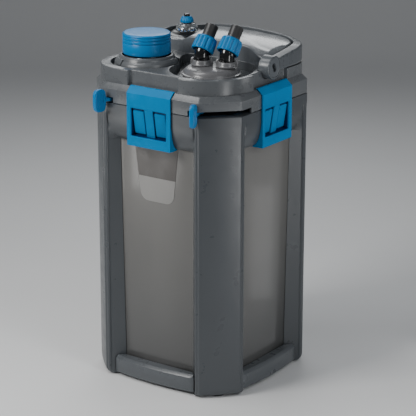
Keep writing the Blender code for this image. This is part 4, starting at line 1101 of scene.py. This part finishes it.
# ------------------------------------------------------------------ heater
hm = move(HEATER[0], HEATER[1])
rod = [(0, 471.4), (1.8, 471.35), (2.9, 471.1), (3.6, 470.6), (4.0, 469.8), (4.0, 458.6), (4.0, 447.0), (11.0, 446.7), (11.0, 80.0), (10.6, 76.0), (9.4, 72.8), (7.0, 70.6), (3.5, 69.7), (0, 69.5)]
ride(lathe("heater_tube", rod[::-1], 48, GLOSS, hm), "canister", "gloss_black_plastic", "heater_rod")
dome = [(15.4, 448.7), (15.6, 449.3), (15.5, 450.2), (15.0, 451.9), (14.1, 453.8), (12.9, 455.6), (11.6, 457.1), (10.4, 458.0), (9.6, 458.1), (9.5, 457.7), (10.6, 456.4), (11.8, 454.9), (13.0, 453.1), (13.9, 451.3), (14.4, 449.8), (14.5, 448.7)]
ride(lathe("heater_window", dome, 72, GLASS, hm, ring=True, angle=40), "canister", "clear_plastic", "heater_dome")


def knurl(a, r, z):
    return r if r < 5.5 or not 459.8 < z < 467.0 else r + 0.28 * math.cos(18 * a) - 0.28


kp = [(4.4, 459.4), (8.9, 459.4), (9.3, 459.9), (9.2, 461.6), (8.7, 463.4), (7.8, 465.2), (6.8, 466.6), (6.2, 467.2), (5.6, 467.5), (4.8, 467.5), (4.4, 467.2)]
ride(lathe("heater_grip", kp, 144, BLUE, hm, ring=True, angle=38, wobble=knurl), "heater_dial", "blue_plastic", "heater_knob")
sp = [(4.4, 448.2), (11.2, 448.2), (11.4, 448.5), (11.4, 450.6), (10.9, 451.3), (7.2, 452.6), (6.4, 453.6), (6.2, 458.2), (4.4, 458.6)]
ride(lathe("heater_scale", sp, 64, GLOSS, hm, ring=True), "canister", "white_plastic", "heater_scale_ring")
for i in range(16):
    a = 2 * math.pi * i / 16
    e, t = Vector((math.cos(a), math.sin(a))), Vector((-math.sin(a), math.cos(a)))
    hz = 1.9 if i % 2 == 0 else 1.1
    rows = [[(HEATER[0] + e.x * r + t.x * u, HEATER[1] + e.y * r + t.y * u, z) for u, z in ((-0.7, 449.4 - 0.5 * hz), (0.7, 449.4 - 0.5 * hz), (0.7, 449.4 + 0.5 * hz), (-0.7, 449.4 + 0.5 * hz))] for r in (11.1, 11.75)]
    ride(loft("scale_mark_%02d" % (i + 1), rows, TICK), "canister", "white_plastic")
gm = move(-62, 0, 396) @ Matrix.Rotation(-math.pi / 2, 4, 'X')
gl = [(3.2, 108.0), (6.8, 108.0), (7.0, 108.4), (7.0, 118.3), (9.8, 118.4), (10.2, 118.8), (10.2, 124.1), (9.8, 124.8), (8.9, 125.3), (8.6, 125.9)]
for q in range(6):
    gl += [(8.5 - 0.25 * q, 126.6 + 2.0 * q), (7.5 - 0.22 * q, 127.1 + 2.0 * q), (7.4 - 0.22 * q, 127.7 + 2.0 * q), (8.3 - 0.25 * q, 128.2 + 2.0 * q)]
gl += [(6.5, 139.4), (6.2, 140.0), (5.6, 140.18), (3.5, 140.18), (3.2, 139.8)]
ride(lathe("cable_gland", gl, 48, RUBBER, gm, ring=True, angle=28), "canister", "gloss_black_plastic", "mains_cable_gland")

# ------------------------------------------------------------------ finishes of the frame's own pieces that stay
keep = {"rubber_foot_": RUBBER, "main_seal": RUBBER, "head_floor": MATT, "prime_barrel": MATT, "prime_spring": STEEL, "pump_motor": MATT,
        "pump_volute": MATT, "impeller": WHITE, "prefilter_cage": GREY, "prefilter_foam": FOAM, "media_basket": GREY, "filter_foam": FOAM}
for nm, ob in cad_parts.items():
    for key, mat in keep.items():
        if nm.startswith(key):
            ob.data.materials.clear()
            ob.data.materials.append(mat)


# ------------------------------------------------------------------ stage, light, camera
def floor_material():
    m, nt, b = base("studio_floor")
    col = mixc(nt, noise(nt, 2.0, 3.0), (0.74, 0.745, 0.75), (0.80, 0.805, 0.81))
    nt.links.new(col, b.inputs["Base Color"])
    b.inputs["Roughness"].default_value = 0.6
    return m


me = bpy.data.meshes.new("studio_floor")
verts, faces = [], []
prof2 = [(-6.0, 0.0), (1.8, 0.0)] + [(1.8 + 0.9 * math.sin(a), 0.9 - 0.9 * math.cos(a)) for a in np.linspace(0.1, math.pi / 2, 12)] + [(2.7, 4.0)]
c35, s35 = math.cos(math.radians(35.15)), math.sin(math.radians(35.15))
for y, z in prof2:
    for x in (-6.0, 6.0):
        verts.append((x * c35 - y * s35, x * s35 + y * c35, z))
for i in range(len(prof2) - 1):
    faces.append((2 * i, 2 * i + 1, 2 * i + 3, 2 * i + 2))
me.from_pydata(verts, [], faces)
me.shade_smooth()
me.materials.append(floor_material())
floor = bpy.data.objects.new("studio_floor", me)
bpy.context.scene.collection.objects.link(floor)


def area(name, loc, target, size, power, colour=(1, 1, 1), size_y=None):
    d = bpy.data.lights.new(name, "AREA")
    d.energy = power
    d.color = colour
    d.size = size
    if size_y:
        d.shape = "RECTANGLE"
        d.size_y = size_y
    ob = bpy.data.objects.new(name, d)
    ob.location = loc
    ob.rotation_euler = (Vector(target) - Vector(loc)).to_track_quat("-Z", "Y").to_euler()
    ob.visible_camera = False
    bpy.context.scene.collection.objects.link(ob)
    return ob


area("key_left", (-0.40, -0.95, 0.98), (0, 0, 0.40), 0.45, 10.0, (1.0, 0.99, 0.97), 0.45)
area("overhead", (-0.34, -0.24, 1.20), (0, 0, 0.41), 0.40, 3.2, (1.0, 1.0, 1.0), 0.40)
area("back_soft", (-0.60, 0.88, 1.05), (0, 0, 0.43), 0.8, 4.4, (0.97, 0.99, 1.0), 0.45)
area("right_fill", (1.2, -0.45, 1.15), (0, 0, 0.38), 0.5, 3.6, (0.95, 0.98, 1.0), 0.8)
area("right_card", (0.255, 0.215, 0.100), (0.104, 0.0, 0.100), 0.075, 0.018, (1.0, 1.0, 1.0), 0.18)
area("right_card_soft", (0.262, 0.225, 0.125), (0.104, 0.0, 0.125), 0.11, 0.008, (1.0, 1.0, 1.0), 0.25)
area("facet_card", (0.66, -0.27, 0.22), (0.083, -0.083, 0.20), 0.14, 1.0, (1.0, 1.0, 1.0), 0.40)
area("front_card", (-0.26, -0.44, 0.22), (0.0, -0.104, 0.25), 0.16, 0.26, (1.0, 0.99, 0.97), 0.15)
area("clip_card", (0.36, 0.10, 0.45), (0.112, 0.0, 0.39), 0.12, 0.21, (1.0, 1.0, 1.0), 0.10)

w = bpy.data.worlds.new("studio")
w.use_nodes = True
w.node_tree.nodes["Background"].inputs[0].default_value = (0.78, 0.82, 0.87, 1.0)
w.node_tree.nodes["Background"].inputs[1].default_value = 0.14
bpy.context.scene.world = w

cam = bpy.data.cameras.new("camera")
cam.sensor_width = 36.0
cam.lens = 157.9
cam.shift_x = 0.0149
cam.shift_y = 0.0120
cam.clip_end = 50.0
co = bpy.data.objects.new("camera", cam)
co.location = (1.3665, -1.9407, 0.9711)
co.rotation_euler = (Vector((0, 0, 0.215)) - Vector(co.location)).to_track_quat("-Z", "Y").to_euler()
bpy.context.scene.collection.objects.link(co)
bpy.context.scene.camera = co
